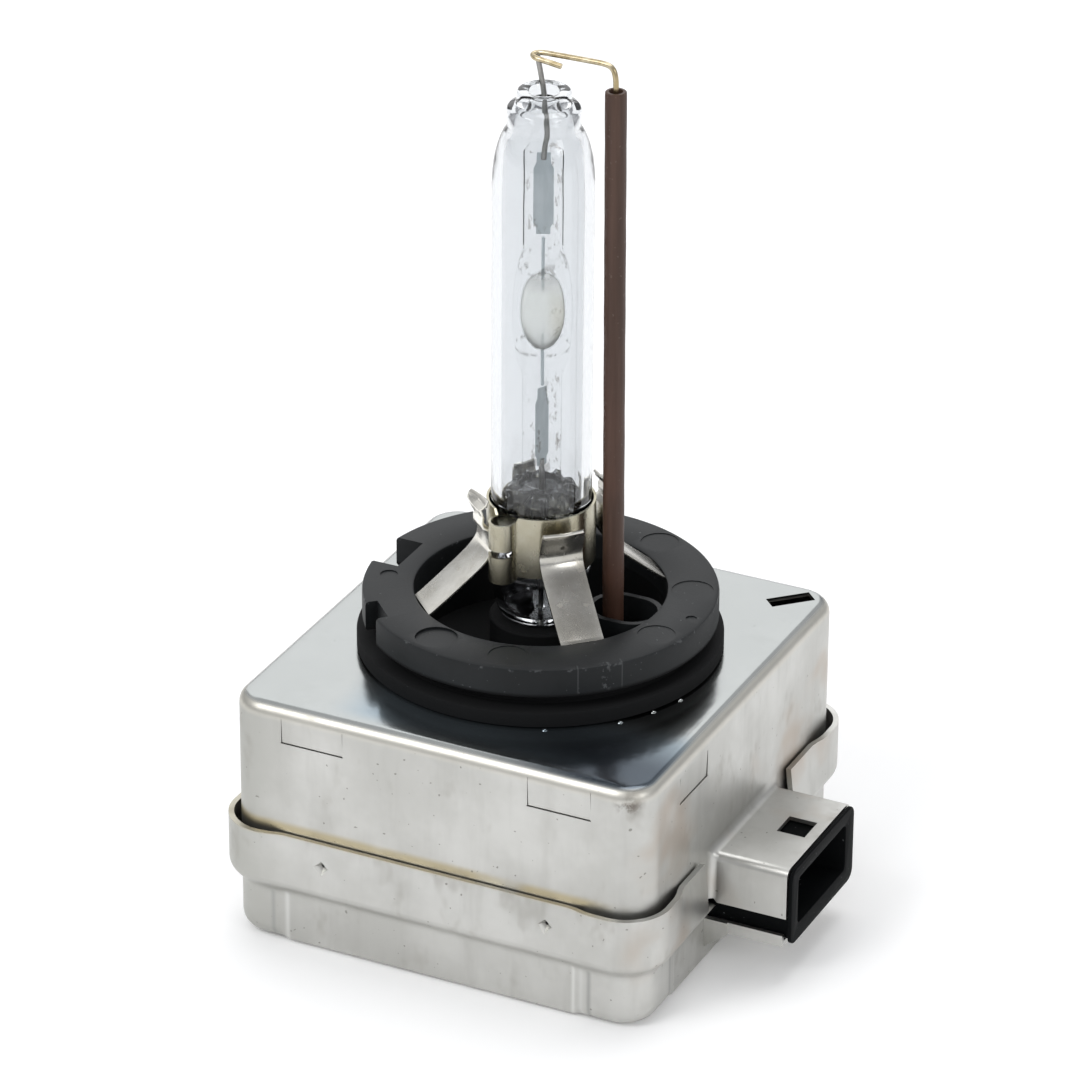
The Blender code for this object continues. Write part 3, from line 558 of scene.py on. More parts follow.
def turnFlat(obj, degrees, centre=(0, 0, 0)):
    # turns a cutter about the upright axis through centre
    spot = Matrix.Translation(Vector(centre) * mm)
    obj.data.transform(spot @ Matrix.Rotation(math.radians(degrees), 4, "Z") @ spot.inverted())
    return obj


def thicken(obj, wall, offset=-1.0):
    modifier = obj.modifiers.new("wall", "SOLIDIFY")
    modifier.thickness, modifier.offset = wall * mm, offset
    modifier.use_even_offset = True
    applyModifiers(obj)


def softenEdges(obj, width, degrees):
    edge = obj.modifiers.new("edge", "BEVEL")
    edge.width, edge.segments = width * mm, 2
    edge.limit_method, edge.angle_limit = "ANGLE", math.radians(degrees)
    applyModifiers(obj)


def finishPiece(obj, material, slotName, *stoodFor, smooth=35.0):
    choose(obj)
    bpy.ops.object.shade_smooth_by_angle(angle=math.radians(smooth))
    obj.data.materials.clear()
    obj.data.materials.append(material)
    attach(obj, "root")
    if stoodFor:
        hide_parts(*stoodFor)
    return obj


tube = {"sides": 96, "joint": (37.95, 40.4, 2.0, 3.45), "lumps": 1.8,
        "outside": [(0.45, 27.15), (2.4, 27.15), (3.1, 27.18), (3.55, 27.32), (3.85, 27.62), (4.02, 28.1),
                    (4.2, 29.0), (4.36, 30.0), (4.46, 31.0), (4.5, 32.0), (4.5, 45.0), (4.5, 60.0),
                    (4.5, 68.6), (4.44, 70.0), (4.28, 71.3), (4.02, 72.4), (3.70, 73.3), (3.36, 73.95),
                    (3.22, 74.2), (3.24, 74.5), (3.26, 75.4), (3.20, 75.85), (3.00, 76.08), (2.62, 76.18),
                    (2.45, 76.32), (2.40, 76.6), (2.40, 77.15), (2.34, 77.38), (2.18, 77.5), (1.60, 77.5),
                    (1.42, 77.44)],
        "inside": [(1.32, 77.25), (1.36, 76.55), (1.70, 75.95), (2.25, 75.5), (2.45, 75.0), (2.48, 74.4),
                   (2.60, 73.8), (2.95, 73.1), (3.3, 72.2), (3.52, 71.0), (3.60, 69.4), (3.60, 60.0),
                   (3.60, 45.0), (3.60, 41.0), (3.60, 39.2), (3.54, 38.4), (3.38, 37.9), (3.22, 38.1),
                   (3.12, 38.5), (3.04, 39.0), (2.94, 39.4), (2.80, 39.8), (2.60, 40.1), (2.35, 40.25),
                   (2.12, 40.2), (1.98, 39.95), (1.92, 39.6), (0.6, 39.5), (0.45, 39.4), (0.45, 35.2),
                   (0.7, 34.6), (1.6, 34.1), (2.6, 33.6), (3.3, 32.8), (3.6, 31.8), (3.62, 31.0),
                   (3.55, 30.0), (3.45, 29.2), (3.32, 28.4), (3.05, 27.95), (2.5, 27.8), (1.2, 27.75),
                   (0.45, 27.75)]}


def makeTube():
    obj = newTurned("quartzTube", tube["outside"] + tube["inside"], sides=tube["sides"])
    openMesh(obj)  # the melted joint round the burner's foot is lumpy
    low, high, near, far = tube["joint"]
    pick(obj, "VERT", lambda at, n: low < at.z < high and near < math.hypot(at.x, at.y) < far)
    bpy.ops.transform.vertex_random(offset=tube["lumps"] * mm, uniform=1.0, normal=0.0, seed=4)
    bpy.ops.mesh.vertices_smooth(factor=0.5, repeat=7)
    closeMesh()
    finishPiece(obj, quartzFinish("clearQuartz"), "quartz", "outer_envelope", smooth=40)


burner = {"stem": 1.75, "low": 40.1, "top": 72.0, "centre": 56.7, "bulb": 2.65, "chamber": 2.0, "half": 3.6,
          "sides": 72}


def chamberWall(end, reach, half):  # a profile from the lower end up; the upper half is blunter
    wall = []
    for i in range(1, 24):
        angle = math.pi * i / 24
        radius = end + reach * math.sin(angle) ** (1.0 if i < 12 else 0.7)
        wall.append((radius, burner["centre"] - half * math.cos(angle)))
    return wall


def makeBurner():
    b = burner
    outside = [(b["stem"] - 0.25, b["top"]), (b["stem"], b["top"] - 0.3)]
    for i in range(15):
        angle = math.pi * i / 14
        outside.append((b["stem"] + (b["bulb"] - b["stem"]) * math.sin(angle) ** 1.5,
                        b["centre"] + (b["half"] + 2.2) * math.cos(angle)))
    outside += [(b["stem"], b["low"] + 0.3), (b["stem"] - 0.25, b["low"])]
    outside += [(1.2, b["low"] - 0.1), (0.3, b["low"] - 0.12)]
    outside = [(0.3, b["top"] + 0.12), (1.2, b["top"] + 0.1)] + outside
    obj = newTurned("burnerQuartz", outside, sides=b["sides"], closed=False)
    closeEnds(obj, (b["low"] - 0.12, b["top"] + 0.12))
    chamber = chamberWall(0.10, b["chamber"] - 0.10, b["half"])
    hollow = newTurned("chamberCutter", chamber, sides=48, closed=False)
    closeEnds(hollow, (chamber[0][1], chamber[-1][1]))
    carve(obj, hollow)
    glass = quartzFinish("burnerGlass", (0.985, 0.988, 0.99), bend=1.015, marked=b["centre"])
    finishPiece(obj, glass, "quartz", "arc_tube", smooth=40)
    film = chamberWall(0.14, b["chamber"] - 0.20, b["half"] - 0.1)
    obj = newTurned("chamberFilm", film, sides=48, closed=False)
    finishPiece(obj, saltFinish("saltFilm", b["centre"]), "quartz", smooth=60)


foils = {"upper": {"low": 64.1, "high": 71.6, "width": 1.75, "turn": 25},
         "lower": {"low": 41.8, "high": 49.4, "width": 1.45, "turn": 66}}
# share of the foil's length and of its width
foilRows = [(0.0, 0.70), (0.09, 0.72), (0.14, 1.0), (0.80, 1.0), (0.88, 0.70), (1.0, 0.66)]


def makeFoils():
    for name, f in foils.items():
        dropSelection()
        bpy.ops.mesh.primitive_plane_add(size=1, location=(0, 0, f["low"] * mm), rotation=(math.pi / 2, 0, 0))
        obj = bpy.context.active_object
        obj.name = name + "Foil"
        settle(obj)
        openMesh(obj)
        pick(obj, "VERT", lambda at, n: at.z > f["low"])
        bpy.ops.mesh.delete(type="VERT")
        pickAll()
        span = f["high"] - f["low"]
        # the kept edge is 1 m wide and half a metre low; it is brought to the foil's first row
        bpy.ops.transform.translate(value=(0, 0, 0.5))
        bpy.ops.transform.resize(value=(f["width"] * foilRows[0][1] * mm, 1, 1),
                                 center_override=(0, 0, f["low"] * mm))
        for (at, wide), (nextAt, nextWide) in zip(foilRows, foilRows[1:]):
            extrudeBy(0, 0, (nextAt - at) * span)
            bpy.ops.transform.resize(value=(nextWide / wide, 1, 1), center_override=(0, 0, 0))
        closeMesh()
        turnFlat(obj, f["turn"])
        thicken(obj, 0.08, 0.0)
        finishPiece(obj, foilFinish(name + "FoilMetal"), "refractory_metal", name + "_foil")


leads = {"thick": 0.24, "pin": 0.15}


def makeLeads():
    c = burner["centre"]
    steel = wireFinish("leadMetal", (0.20, 0.20, 0.19), (0.36, 0.35, 0.33))
    tungsten = foilFinish("electrodeMetal")
    for name, side in (("upper", 1), ("lower", -1)):
        tip = c + side * 2.1
        path = [(0, 0, tip), (0, 0, tip + side * 2.5), (0.02, 0, tip + side * 5.0)]
        obj = newRod(name + "Electrode", path, leads["pin"], 12)
        finishPiece(obj, tungsten, "refractory_metal", name + "_electrode")
    top = foils["upper"]["high"]
    path = [(0, 0, top - 0.6), (0.02, 0, top), (0.22, 0.06, top + 1.2), (0.28, 0.10, top + 2.6),
            (0.05, 0.05, top + 4.0), (-0.02, 0.10, 77.0), (-0.32, 0.10, 78.6), (-0.72, 0.08, 80.62)]
    obj = newRod("upperLead", path, leads["thick"])
    finishPiece(obj, steel, "lead_wire", "upper_lead")
    low = foils["lower"]["low"]
    path = [(0, 0, low + 0.6), (0, 0, low), (0.05, 0, 36.0), (0, 0, 29.0), (0, 0, 17.8)]
    obj = newRod("lowerLead", path, leads["thick"])
    finishPiece(obj, steel, "lead_wire", "lower_lead")


returnWire = {"thick": 0.25,
              "hook": [(1.8, -0.38, 80.08), (1.4, -0.40, 80.15), (0.8, -0.42, 80.25), (0.1, -0.44, 80.35),
                       (-0.6, -0.42, 80.42), (-1.0, -0.22, 80.48), (-1.12, 0.10, 80.54),
                       (-0.85, 0.40, 80.60), (-0.3, 0.50, 80.66), (0.6, 0.42, 80.70), (2.2, 0.30, 80.78),
                       (4.4, 0.16, 80.86), (5.6, 0.10, 80.88), (6.25, 0.06, 80.75), (6.62, 0.02, 80.35),
                       (6.77, 0.0, 79.6), (6.78, 0, 78.7), (6.80, 0, 77.0), (7.0, 0, 50.0), (7.2, 0, 22.6),
                       (7.2, 0, 18.2)],
              "sleeve": (7.2, 0.95, 0.55, 22.6, 78.6), "lean": -0.43}


def makeReturn():
    obj = newRod("returnWire", returnWire["hook"], returnWire["thick"])
    nickel = wireFinish("nickelWire", (0.40, 0.32, 0.18), (0.66, 0.58, 0.42))
    finishPiece(obj, nickel, "lead_wire", "return_wire")
    x, r, bore, low, top = returnWire["sleeve"]
    outline = [(bore, top - 0.15), (bore + 0.08, top), (r - 0.10, top), (r - 0.02, top - 0.07),
               (r, top - 0.25)]
    for i in range(1, 24):
        outline.append((r + 0.012 * math.sin(i * 2.3), top - 0.25 - (top - low - 0.25) * i / 24))
    outline += [(r, low), (bore, low)]
    obj = newTurned("ceramicSleeve", outline, centre=(x, 0), sides=48)
    openMesh(obj)
    pickAll()
    bpy.ops.transform.rotate(value=-math.radians(returnWire["lean"]), orient_axis="Y",
                             center_override=Vector((x, 0, low)) * mm)
    closeMesh()
    finishPiece(obj, ceramicFinish("brownCeramic"), "sleeve_ceramic", "ceramic_sleeve")


clamp = {"radius": 4.78, "wall": 0.22, "low": 32.7, "high": 38.5, "beadAngle": -106.0, "bead": 1.1,
         "beadAt": 5.2,
         "beadLow": 32.2, "slot": (34.75, 35.4), "rows": 6}


def makeClamp():
    c = clamp
    half = math.degrees(math.asin(c["bead"] / c["radius"]))
    out = math.radians(c["beadAngle"])
    points = []
    for i in range(89):
        angle = math.radians(c["beadAngle"] + half + (360 - 2 * half) * i / 88)
        points.append((c["radius"] * math.cos(angle), c["radius"] * math.sin(angle)))
    middle = (c["beadAt"] * math.cos(out), c["beadAt"] * math.sin(out))
    for i in range(25):
        angle = out + math.radians(-110 + 220 / 24 * i)
        points.append((middle[0] + c["bead"] * math.cos(angle), middle[1] + c["bead"] * math.sin(angle)))
    # a ring primitive takes the outline of the band with its rolled bead
    dropSelection()
    bpy.ops.mesh.primitive_circle_add(vertices=len(points), radius=c["radius"] * mm,
                                      location=(0, 0, c["low"] * mm))
    obj = bpy.context.active_object
    obj.name = "tubeClamp"
    settle(obj)
    for vert, (px, py) in zip(obj.data.vertices, points):
        vert.co = Vector((px, py, c["low"])) * mm
    openMesh(obj)
    pickAll()
    for row in range(c["rows"]):
        extrudeBy(0, 0, (c["high"] - c["low"]) / c["rows"])
    nearBead = lambda at: math.hypot(at.x - middle[0], at.y - middle[1]) < 1.45
    pick(obj, "VERT", lambda at, n: nearBead(at) and at.z < c["low"] + 0.1)
    shift(0, 0, c["beadLow"] - c["low"])
    pick(obj, "VERT", lambda at, n: nearBead(at) and at.z > c["high"] - 0.1)
    shift(0, 0, -0.55)
    closeMesh(outwards=True)
    thicken(obj, c["wall"], 0.0)
    low, high = c["slot"]
    slot = newBlock("slotCutter", (c["radius"] + 0.25, -2.2, low), (c["radius"] + 3.0, 2.2, high))
    carve(obj, turnFlat(slot, c["beadAngle"]))
    finishPiece(obj, springSteelFinish("clampSteel", 0.9, 0.74), "spring_steel", "tube_clamp")


strap = {"width": 4.0, "wall": 0.26,
         "side": [(11.15, 29.35), (10.6, 29.75), (9.4, 30.72), (8.2, 31.72), (7.2, 32.56), (6.4, 33.28),
                  (5.88, 33.82), (5.5, 34.34), (5.30, 34.84), (5.26, 35.15), (5.28, 35.42), (5.36, 35.80),
                  (5.52, 36.35), (5.68, 36.90), (5.82, 37.35), (5.98, 37.62), (6.16, 37.66)],
         "ear": [(5.26, 34.84), (5.24, 35.3), (5.30, 36.0), (5.50, 36.8), (5.66, 37.4), (5.55, 38.1),
                 (5.80, 38.8), (5.70, 39.3), (5.5, 39.55)],
         "angles": {1: -45.0, 2: -135.0, 3: 135.0, 4: 45.0}, "weld": (4.02, -4.02, 36.1)}


def makeStrap(number):
    s = strap
    width, side = s["width"] * mm, s["side"] if number == 1 else s["side"][:8] + s["ear"]
    dropSelection()
    bpy.ops.mesh.primitive_plane_add(size=1, location=(side[0][0] * mm, 0, side[0][1] * mm))
    obj = bpy.context.active_object
    obj.name = "strap%d" % number
    settle(obj)
    openMesh(obj)
    pick(obj, "VERT", lambda at, n: at.x > side[0][0])
    bpy.ops.mesh.delete(type="VERT")
    pickAll()
    bpy.ops.transform.translate(value=(0.5, 0, 0))
    bpy.ops.transform.resize(value=(1, width, 1), center_override=(0, 0, 0))
    for i, ((r, z), (nextR, nextZ)) in enumerate(zip(side, side[1:])):
        extrudeBy(nextR - r, 0, nextZ - z)
        if number == 1 and i >= len(side) - 4:  # the free end narrows round its corners
            share = (0.99, 0.97, 0.90)[i - len(side) + 4]
            bpy.ops.transform.resize(value=(1, share, 1), center_override=(0, 0, 0))
        if number > 1 and 9 <= i:  # the other straps end in a narrow crumpled ear
            bpy.ops.transform.resize(value=(1, 0.95, 1), center_override=(0, 0.2 * mm, 0))
    pickAll()
    bpy.ops.mesh.subdivide(number_cuts=1)
    # the tab is arched across its width where it wraps the band
    pick(obj, "VERT", lambda at, n: at.z > 34.6 and abs(at.y) < 0.3)
    shift(0.16, 0, 0)
    closeMesh(outwards=True)
    if number > 1:
        openMesh(obj)
        for level, way, move in ((36.9, 1, 0.45), (38.0, -1, 0.55), (38.9, 1, -0.50)):
            pick(obj, "VERT", lambda at, n: at.z > level and (at.y + 0.6) * way > 0.1)
            shift(move, 0, 0)
        closeMesh()
    turnFlat(obj, s["angles"][number])
    thicken(obj, s["wall"], 0.0)
    softenEdges(obj, 0.04, 50)
    # painted light and shade: strap 2 is painted lighter than one steel and the other straps a little darker
    light = 1.42 if number == 2 else 0.95
    steel = springSteelFinish("strapSteel%d" % number, 0.0, light, s["weld"] if number == 1 else None)
    finishPiece(obj, steel, "spring_steel", "mounting_strap_%d" % number, smooth=40)


base = {"sides": 144, "ring": 16.0, "well": 11.3, "top": 29.6, "edge": 0.3,
        "bigNotch": (5.0, 2.9), "smallNotch": (3.2, 1.2, -135.5),
        "marks": [(-3.9, -13.0, 1.9, 0.16), (3.2, -13.2, 1.75, 0.05), (13.2, -3.9, 1.7, 0.05),
                  (12.6, 5.1, 1.9, 0.05), (-13.1, -4.2, 0.8, 0.08), (14.7, 0.2, 0.5, 0.08),
                  (-5.4, 12.6, 1.75, 0.05), (6.0, 12.4, 1.75, 0.05)]}


def makeRacetrack(name, radius, low, high):
    obj = newTurned(name, [(radius, low), (radius, high)], centre=(7.7, 0), sides=48, closed=False)
    openMesh(obj)
    pick(obj, "VERT", lambda at, n: at.x > 7.71)
    shift(1.3, 0, 0)
    closeMesh()
    closeEnds(obj, (low, high))
    return obj


def makeBase():
    b = base
    e, r, w, top = b["edge"], b["ring"], b["well"], b["top"]
    profile = [(w + e, top), (r - e, top), (r - 0.08, top - 0.1), (r, top - e), (r, 26.95),
               (r - 0.15, 26.8), (14.6, 26.8), (14.5, 26.7), (14.5, 25.75), (14.7, 25.6), (16.2, 25.6),
               (16.42, 25.5), (16.5, 25.3), (16.5, 24.2), (13.6, 24.2), (13.6, 20.6), (1.3, 20.6),
               (1.3, 26.85), (4.45, 26.85), (4.6, 26.7), (4.6, 22.6), (w, 22.6), (w, top - e),
               (w + 0.1, top - 0.1)]
    obj = newTurned("blackBase", profile, sides=b["sides"])
    carve(obj, makeRacetrack("bossCutter", 2.8, 21.6, 29.2), "UNION")
    carve(obj, makeRacetrack("pocketCutter", 2.3, 23.0, 30.6))
    carve(obj, newDrum("holeCutter", 1.25, 18.0, 26.0, (7.2, 0), 32))
    wide, deep = b["bigNotch"]
    carve(obj, newBlock("notchCutter", (-r - 2, -wide / 2, 26.0), (-r + deep, wide / 2, 31.6)))
    wide, deep, angle = b["smallNotch"]
    carve(obj, turnFlat(newBlock("notchCutter", (r - deep, -wide / 2, 26.4), (r + 2, wide / 2, 31.6)), angle))
    for x, y, radius, depth in b["marks"]:  # shallow pin marks in the top face
        mark = newDrum("markCutter", radius, top - depth, top + 1, (x, y), 40)
        openMesh(mark)
        pick(mark, "VERT", lambda at, n: at.z < top and at.x < x)
        shift(0, 0, -depth * 0.3)
        closeMesh()
        carve(obj, mark)
    finishPiece(obj, blackPlasticFinish("basePlastic", ring=True), "black_plastic", "base_ring")


can = {"low": (-20.3, -21.7, 6.8), "high": (20.5, 20.7, 24.0), "corner": 3.2, "edge": 1.25, "wall": 0.4,
       "hood": (-7.8, 6.2, 11.3, 28.0), "bend": 0.8,
       "slot": (17.0, 17.2, 4.2, 1.6), "latch": (25.6, -0.15, 2.7, 2.9),
       # pressed tabs: axis across the wall, share of the slit at the sides, left, right, low, high
       "tabs": [(1, 0.4, -14.8, -8.8, 20.6, 22.95), (1, 0.4, 9.3, 15.3, 20.4, 23.15),
                (0, 1.0, -14.3, -8.7, 19.6, 22.1)],
       "tabSlit": 0.09, "tabTilt": 2.5, "hole": 14.2, "bead": 0.36,
       "beads": [(7.6, -14.8), (12.9, -10.6), (14.7, -7.6), (15.9, -4.6), (-15.6, 5.6), (-6.0, 15.5)]}


def makeTopCan():
    c = can
    (x0, y0, z0), (x1, y1, z1) = c["low"], c["high"]
    obj = newBlock("topCan", c["low"], c["high"])
    openMesh(obj)
    roundAlong(obj, 2, c["corner"], 12)
    pick(obj, "EDGE", lambda at, way: at.z > z1 - 0.01)
    bevelPicked(c["edge"], 7)
    pick(obj, "FACE", lambda at, n: at.z < z0 + 0.01)
    bpy.ops.mesh.delete(type="FACE")
    # the hood over the connector is drawn out of the right wall
    ya, yb, zh, xe = c["hood"]
    onRight = lambda at, n: n.x > 0.99 and at.x > x1 - 0.01
    for point, normal in (((0, ya, 0), (0, 1, 0)), ((0, yb, 0), (0, 1, 0)), ((0, 0, zh), (0, 0, 1))):
        pick(obj, "FACE", onRight)
        cutAcross(point, normal)
    pick(obj, "FACE", lambda at, n: onRight(at, n) and ya < at.y < yb and at.z < zh)
    bpy.ops.mesh.extrude_region_move(TRANSFORM_OT_translate={"value": ((xe - x1) * mm, 0, 0)})
    pick(obj, "FACE", lambda at, n: (n.x > 0.9 and at.x > xe - 0.01) or (n.z < -0.9 and at.x > x1))
    bpy.ops.mesh.delete(type="FACE")
    between = lambda value, a, b: a - 0.01 < value < b + 0.01

    def atBend(at, way):  # where the hood meets the wall, and its upper corners
        atWall, atRoof = between(at.x, x1, x1), between(at.z, zh, zh)
        atSide = between(at.y, ya, ya) or between(at.y, yb, yb)
        if abs(way.y) > 0.9 and atWall and atRoof and between(at.y, ya, yb):
            return True
        if abs(way.z) > 0.9 and atWall and atSide and at.z < zh:
            return True
        return abs(way.x) > 0.9 and atRoof and at.x > x1 + 0.1

    pick(obj, "EDGE", atBend)
    bevelPicked(c["bend"], 4)
    pick(obj, "VERT", lambda at, n: at.x > x1 + 0.7 and at.z < z0 + 0.05)
    shift(0, 0, -0.4)
    closeMesh(outwards=True)
    thicken(obj, c["wall"])
    r = c["hole"]
    hole = newBlock("holeCutter", (-r, -r, 22.0), (r, r, 26.0))
    openMesh(hole)
    roundAlong(hole, 2, 14.19, 24)
    closeMesh()
    carve(obj, hole)
    sx, sy, long, wide = c["slot"]
    slot = newBlock("slotCutter", (sx - long / 2, sy - wide / 2, 22.5), (sx + long / 2, sy + wide / 2, 25.0))
    carve(obj, turnFlat(slot, 45, (sx, sy, 0)))
    lx, ly, long, wide = c["latch"]
    carve(obj, newBlock("latchCutter", (lx - long / 2, ly - wide / 2, 10.2),
                        (lx + long / 2, ly + wide / 2, 12.5)))
    s, walls = c["tabSlit"], {0: (x1, -1), 1: (y0, 1)}
    for axis, share, a, b, za, zb in c["tabs"]:  # a slit under each tab and one at each side
        wall, way = walls[axis]
        for left, right, top in ((a - s, b + s, za), (a - s * share, a, zb), (b, b + s * share, zb)):
            low, high = [left, left, za - s], [right, right, top]
            low[axis], high[axis] = wall - 1, wall + 1
            carve(obj, newBlock("slitCutter", low, high))
    openMesh(obj)
    tilt = math.radians(c["tabTilt"])
    for axis, share, a, b, za, zb in c["tabs"]:  # each cut tab leans in a little
        wall, way = walls[axis]
        pick(obj, "VERT", lambda at, n: a - 0.01 < at[1 - axis] < b + 0.01
             and za - 0.01 < at.z < za + 0.02 and (at[axis] - wall) * way < 0.6)
        slide(axis, way * math.tan(tilt) * (zb - za))
    closeMesh()
    for x, y in c["beads"]:  # small stake marks round the base
        dropSelection()
        bpy.ops.mesh.primitive_uv_sphere_add(segments=16, ring_count=8, radius=c["bead"] * mm,
                                             location=Vector((x, y, z1 - 0.2)) * mm)
        bead = bpy.context.active_object
        settle(bead)
        carve(obj, bead, "UNION")
    finishPiece(obj, tinnedSteelFinish("canSteel"), "tinned_steel", "upper_can", smooth=32)


cover = {"low": (-20.3, -21.7, 0.0), "high": (20.5, 20.7, 5.3), "corner": 3.2, "out": 1.17,
         "collar": (6.6, 11.6), "wall": 0.5, "foot": 1.6, "fold": 0.45, "raised": 0.15, "sunk": 0.28,
         "rib": 0.26, "press": 0.50, "flat": (-14.5, 13.6), "ribs": (-15.2, 14.3),
         "cuts": (-16.7, -15.9, -15.2, -14.5, 13.6, 14.3, 15.0, 15.8),
         "pressed": (0.05, 0.30, 0.72, 1.0, 1.0, 0.72, 0.30, 0.05),
         "dimples": [(-10.55, 9.35), (11.48, 9.35)],
         # painted light and shade along the pressed creases: where each line runs, mm, and its tone
         "foldLightAndShade": ((13.75, 0.78), (15.35, 0.33), (14.6, 0.66), (-14.6, 0.72), (-15.9, 0.36))}


def makeBottomCover():
    c = cover
    (x0, y0, z0), (x1, y1, z1) = c["low"], c["high"]
    out = c["out"]
    obj = newBlock("bottomCover", c["low"], c["high"])
    collar = newBlock("collar", (x0 - out, y0 - out, c["collar"][0]), (x1 + out, y1 + out, c["collar"][1]))
    for piece, radius, openAt in ((obj, c["corner"], (z1,)), (collar, c["corner"] + out, c["collar"])):
        openMesh(piece)
        roundAlong(piece, 2, radius, 12)
        for axis in (0, 1):
            for cut in c["cuts"]:
                pickAll()
                point, normal = [0, 0, 0], [0, 0, 0]
                point[axis], normal[axis] = cut, 1
                cutAcross(point, normal)
        pick(piece, "FACE", lambda at, n: any(abs(at.z - level) < 0.01 for level in openAt))
        bpy.ops.mesh.delete(type="FACE")
        closeMesh()
    # the feet stay down; the rest of the floor and the walls between the corners are drawn in
    openMesh(obj)
    between = lambda at, axis: c["flat"][0] - 0.01 < at[axis] < c["flat"][1] + 0.01
    walls = ((1, y0, 1), (1, y1, -1), (0, x0, 1), (0, x1, -1))  # axis across the wall, place, way in
    pick(obj, "VERT", lambda at, n: at.z < 0.01 and (between(at, 0) or between(at, 1)))
    shift(0, 0, c["raised"])
    for axis, wall, way in walls:
        pick(obj, "VERT", lambda at, n: between(at, 1 - axis) and (at[axis] - wall) * way < 0.01)
        slide(axis, way * c["sunk"])
    for axis in (1, 0):
        for middle in c["ribs"]:  # a pressed rib beside each foot
            for wall, way in [(place, way) for across, place, way in walls if across == axis]:
                pick(obj, "VERT", lambda at,
                     n: abs(at[1 - axis] - middle) < 0.02 and abs(at[axis] - wall) < 0.02)
                slide(axis, way * (c["sunk"] - c["rib"]))
    closeMesh()
    choose(obj)
    collar.select_set(True)
    bpy.ops.object.join()
    openMesh(obj)
    step = (z1, c["collar"][0])
    atStep = lambda at: abs(at.z - step[0]) < 0.02 or abs(at.z - step[1]) < 0.02
    pick(obj, "EDGE", lambda at, way: abs(way.z) < 0.1 and atStep(at))
    bpy.ops.mesh.bridge_edge_loops()
    pick(obj, "EDGE", lambda at, way: abs(way.z) < 0.3 and atStep(at))
    bevelPicked(0.5, 4)
    near, mid = 0.4, ((x0 + x1) / 2, (y0 + y1) / 2)
    straight = ((x1 - x0) / 2 - c["corner"], (y1 - y0) / 2 - c["corner"])

    def onRim(at):  # close to a wall or round a corner
        px, py = abs(at.x - mid[0]) - straight[0], abs(at.y - mid[1]) - straight[1]
        byWall = at.x < x0 + near or at.x > x1 - near or at.y < y0 + near or at.y > y1 - near
        return byWall or (px > 0 and py > 0 and math.hypot(px, py) > c["corner"] - near)

    def crossing(at, way):  # an edge that a cut left across the floor
        alongX = abs(way.x) > 0.9 and y0 + 1 <= at.y <= y1 - 1
        return alongX or (abs(way.y) > 0.9 and x0 + 1 <= at.x <= x1 - 1)

    pick(obj, "EDGE", lambda at, way: at.z < c["raised"] + 0.02 and abs(way.z) < 0.5 and onRim(at)
         and not crossing(at, way))
    bevelPicked(c["foot"], 6)
    # between the feet the bottom fold is tight
    reach = c["foot"] + 0.02
    tight = c["fold"] / c["foot"]
    for axis, wall, way in walls:
        wall = wall + way * c["sunk"]
        pick(obj, "VERT", lambda at, n: between(at, 1 - axis) and at.z < c["raised"] + reach
             and (at[axis] - wall) * way < reach)
        spot, size = [0, 0, c["raised"] * mm], [1, 1, tight]
        spot[axis], size[axis] = wall * mm, tight
        bpy.ops.transform.resize(value=size, center_override=spot)
    faceOut()
    # the collar is pressed towards the can along its straight sides
    for axis in (1, 0):
        for cut, share in zip(c["cuts"], c["pressed"]):
            for wall, way in [(place - way, way) for across, place, way in walls if across == axis]:
                pick(obj, "VERT", lambda at,
                     n: at.z > c["collar"][1] - 0.01 and abs(at[1 - axis] - cut) < 0.02
                     and (at[axis] - wall) * way < 0)
                slide(axis, way * c["press"] * share)
    closeMesh()
    thicken(obj, c["wall"])
    ya, yb, zh, xe = can["hood"]
    tongue = newBlock("tongue", (x1 - 0.9, ya, 3.5), (xe - 0.3, yb, 4.6))
    carve(obj, tongue, "UNION")
    root = newBlock("tongueRoot", (x1 - 0.9, ya - 0.2, 1.2), (x1 + 1.9, yb + 0.2, 4.6))
    openMesh(root)
    pick(root, "VERT", lambda at, n: at.x > x1 and at.z < 2.0)
    shift(0, 0, 2.2)
    closeMesh()
    carve(obj, root, "UNION")
    carve(obj, newBlock("portCutter", (x1 - 3.0, ya + 0.4, 3.95), (xe + 1, yb - 0.4, 12.6)))
    carve(obj, newBlock("hoodCutter", (x1 - 3.0, ya - 0.3, 6.0), (x1 + 3.0, yb + 0.3, 12.6)))
    carve(obj, newBlock("gapCutter", (x1 + 0.1, -10.3, 6.3), (x1 + 3.0, 8.6, 12.6)))
    for x, z in c["dimples"]:  # pointed dents that hold the two cans together
        for y, way in ((y0 - out, 1), (y1 + out, -1)):
            for side in (-2.05, 2.05):  # a narrow flat on each side of it
                dropSelection()
                bpy.ops.mesh.primitive_uv_sphere_add(segments=24, ring_count=12, radius=1,
                                                     location=Vector((x + side, y, z)) * mm,
                                                     scale=(0.34 * mm, 0.14 * mm, 1.15 * mm))
                flat = bpy.context.active_object
                settle(flat)
                carve(obj, flat)
            dropSelection()
            bpy.ops.mesh.primitive_cone_add(vertices=4, radius1=1.0 * mm, radius2=0, depth=0.95 * mm,
                                            location=Vector((x, y + way * 0.44, z)) * mm,
                                            rotation=(-math.pi / 2 * way, 0, 0))
            dent = bpy.context.active_object
            settle(dent)
            carve(obj, dent)
    steel = tinnedSteelFinish("coverSteel", top=90.0, foldLightAndShade=c["foldLightAndShade"])
    finishPiece(obj, steel, "tinned_steel", "lower_can", smooth=27)


housing = {"y": (-7.8, 6.2), "z": (3.6, 11.3), "x": (14.2, 28.2, 28.5), "gap": 0.55,
           "mouth": ((21.8, -6.3, 5.3), (30.0, 4.3, 10.0)), "pinStep": 2.6, "pinWay": 0.7}


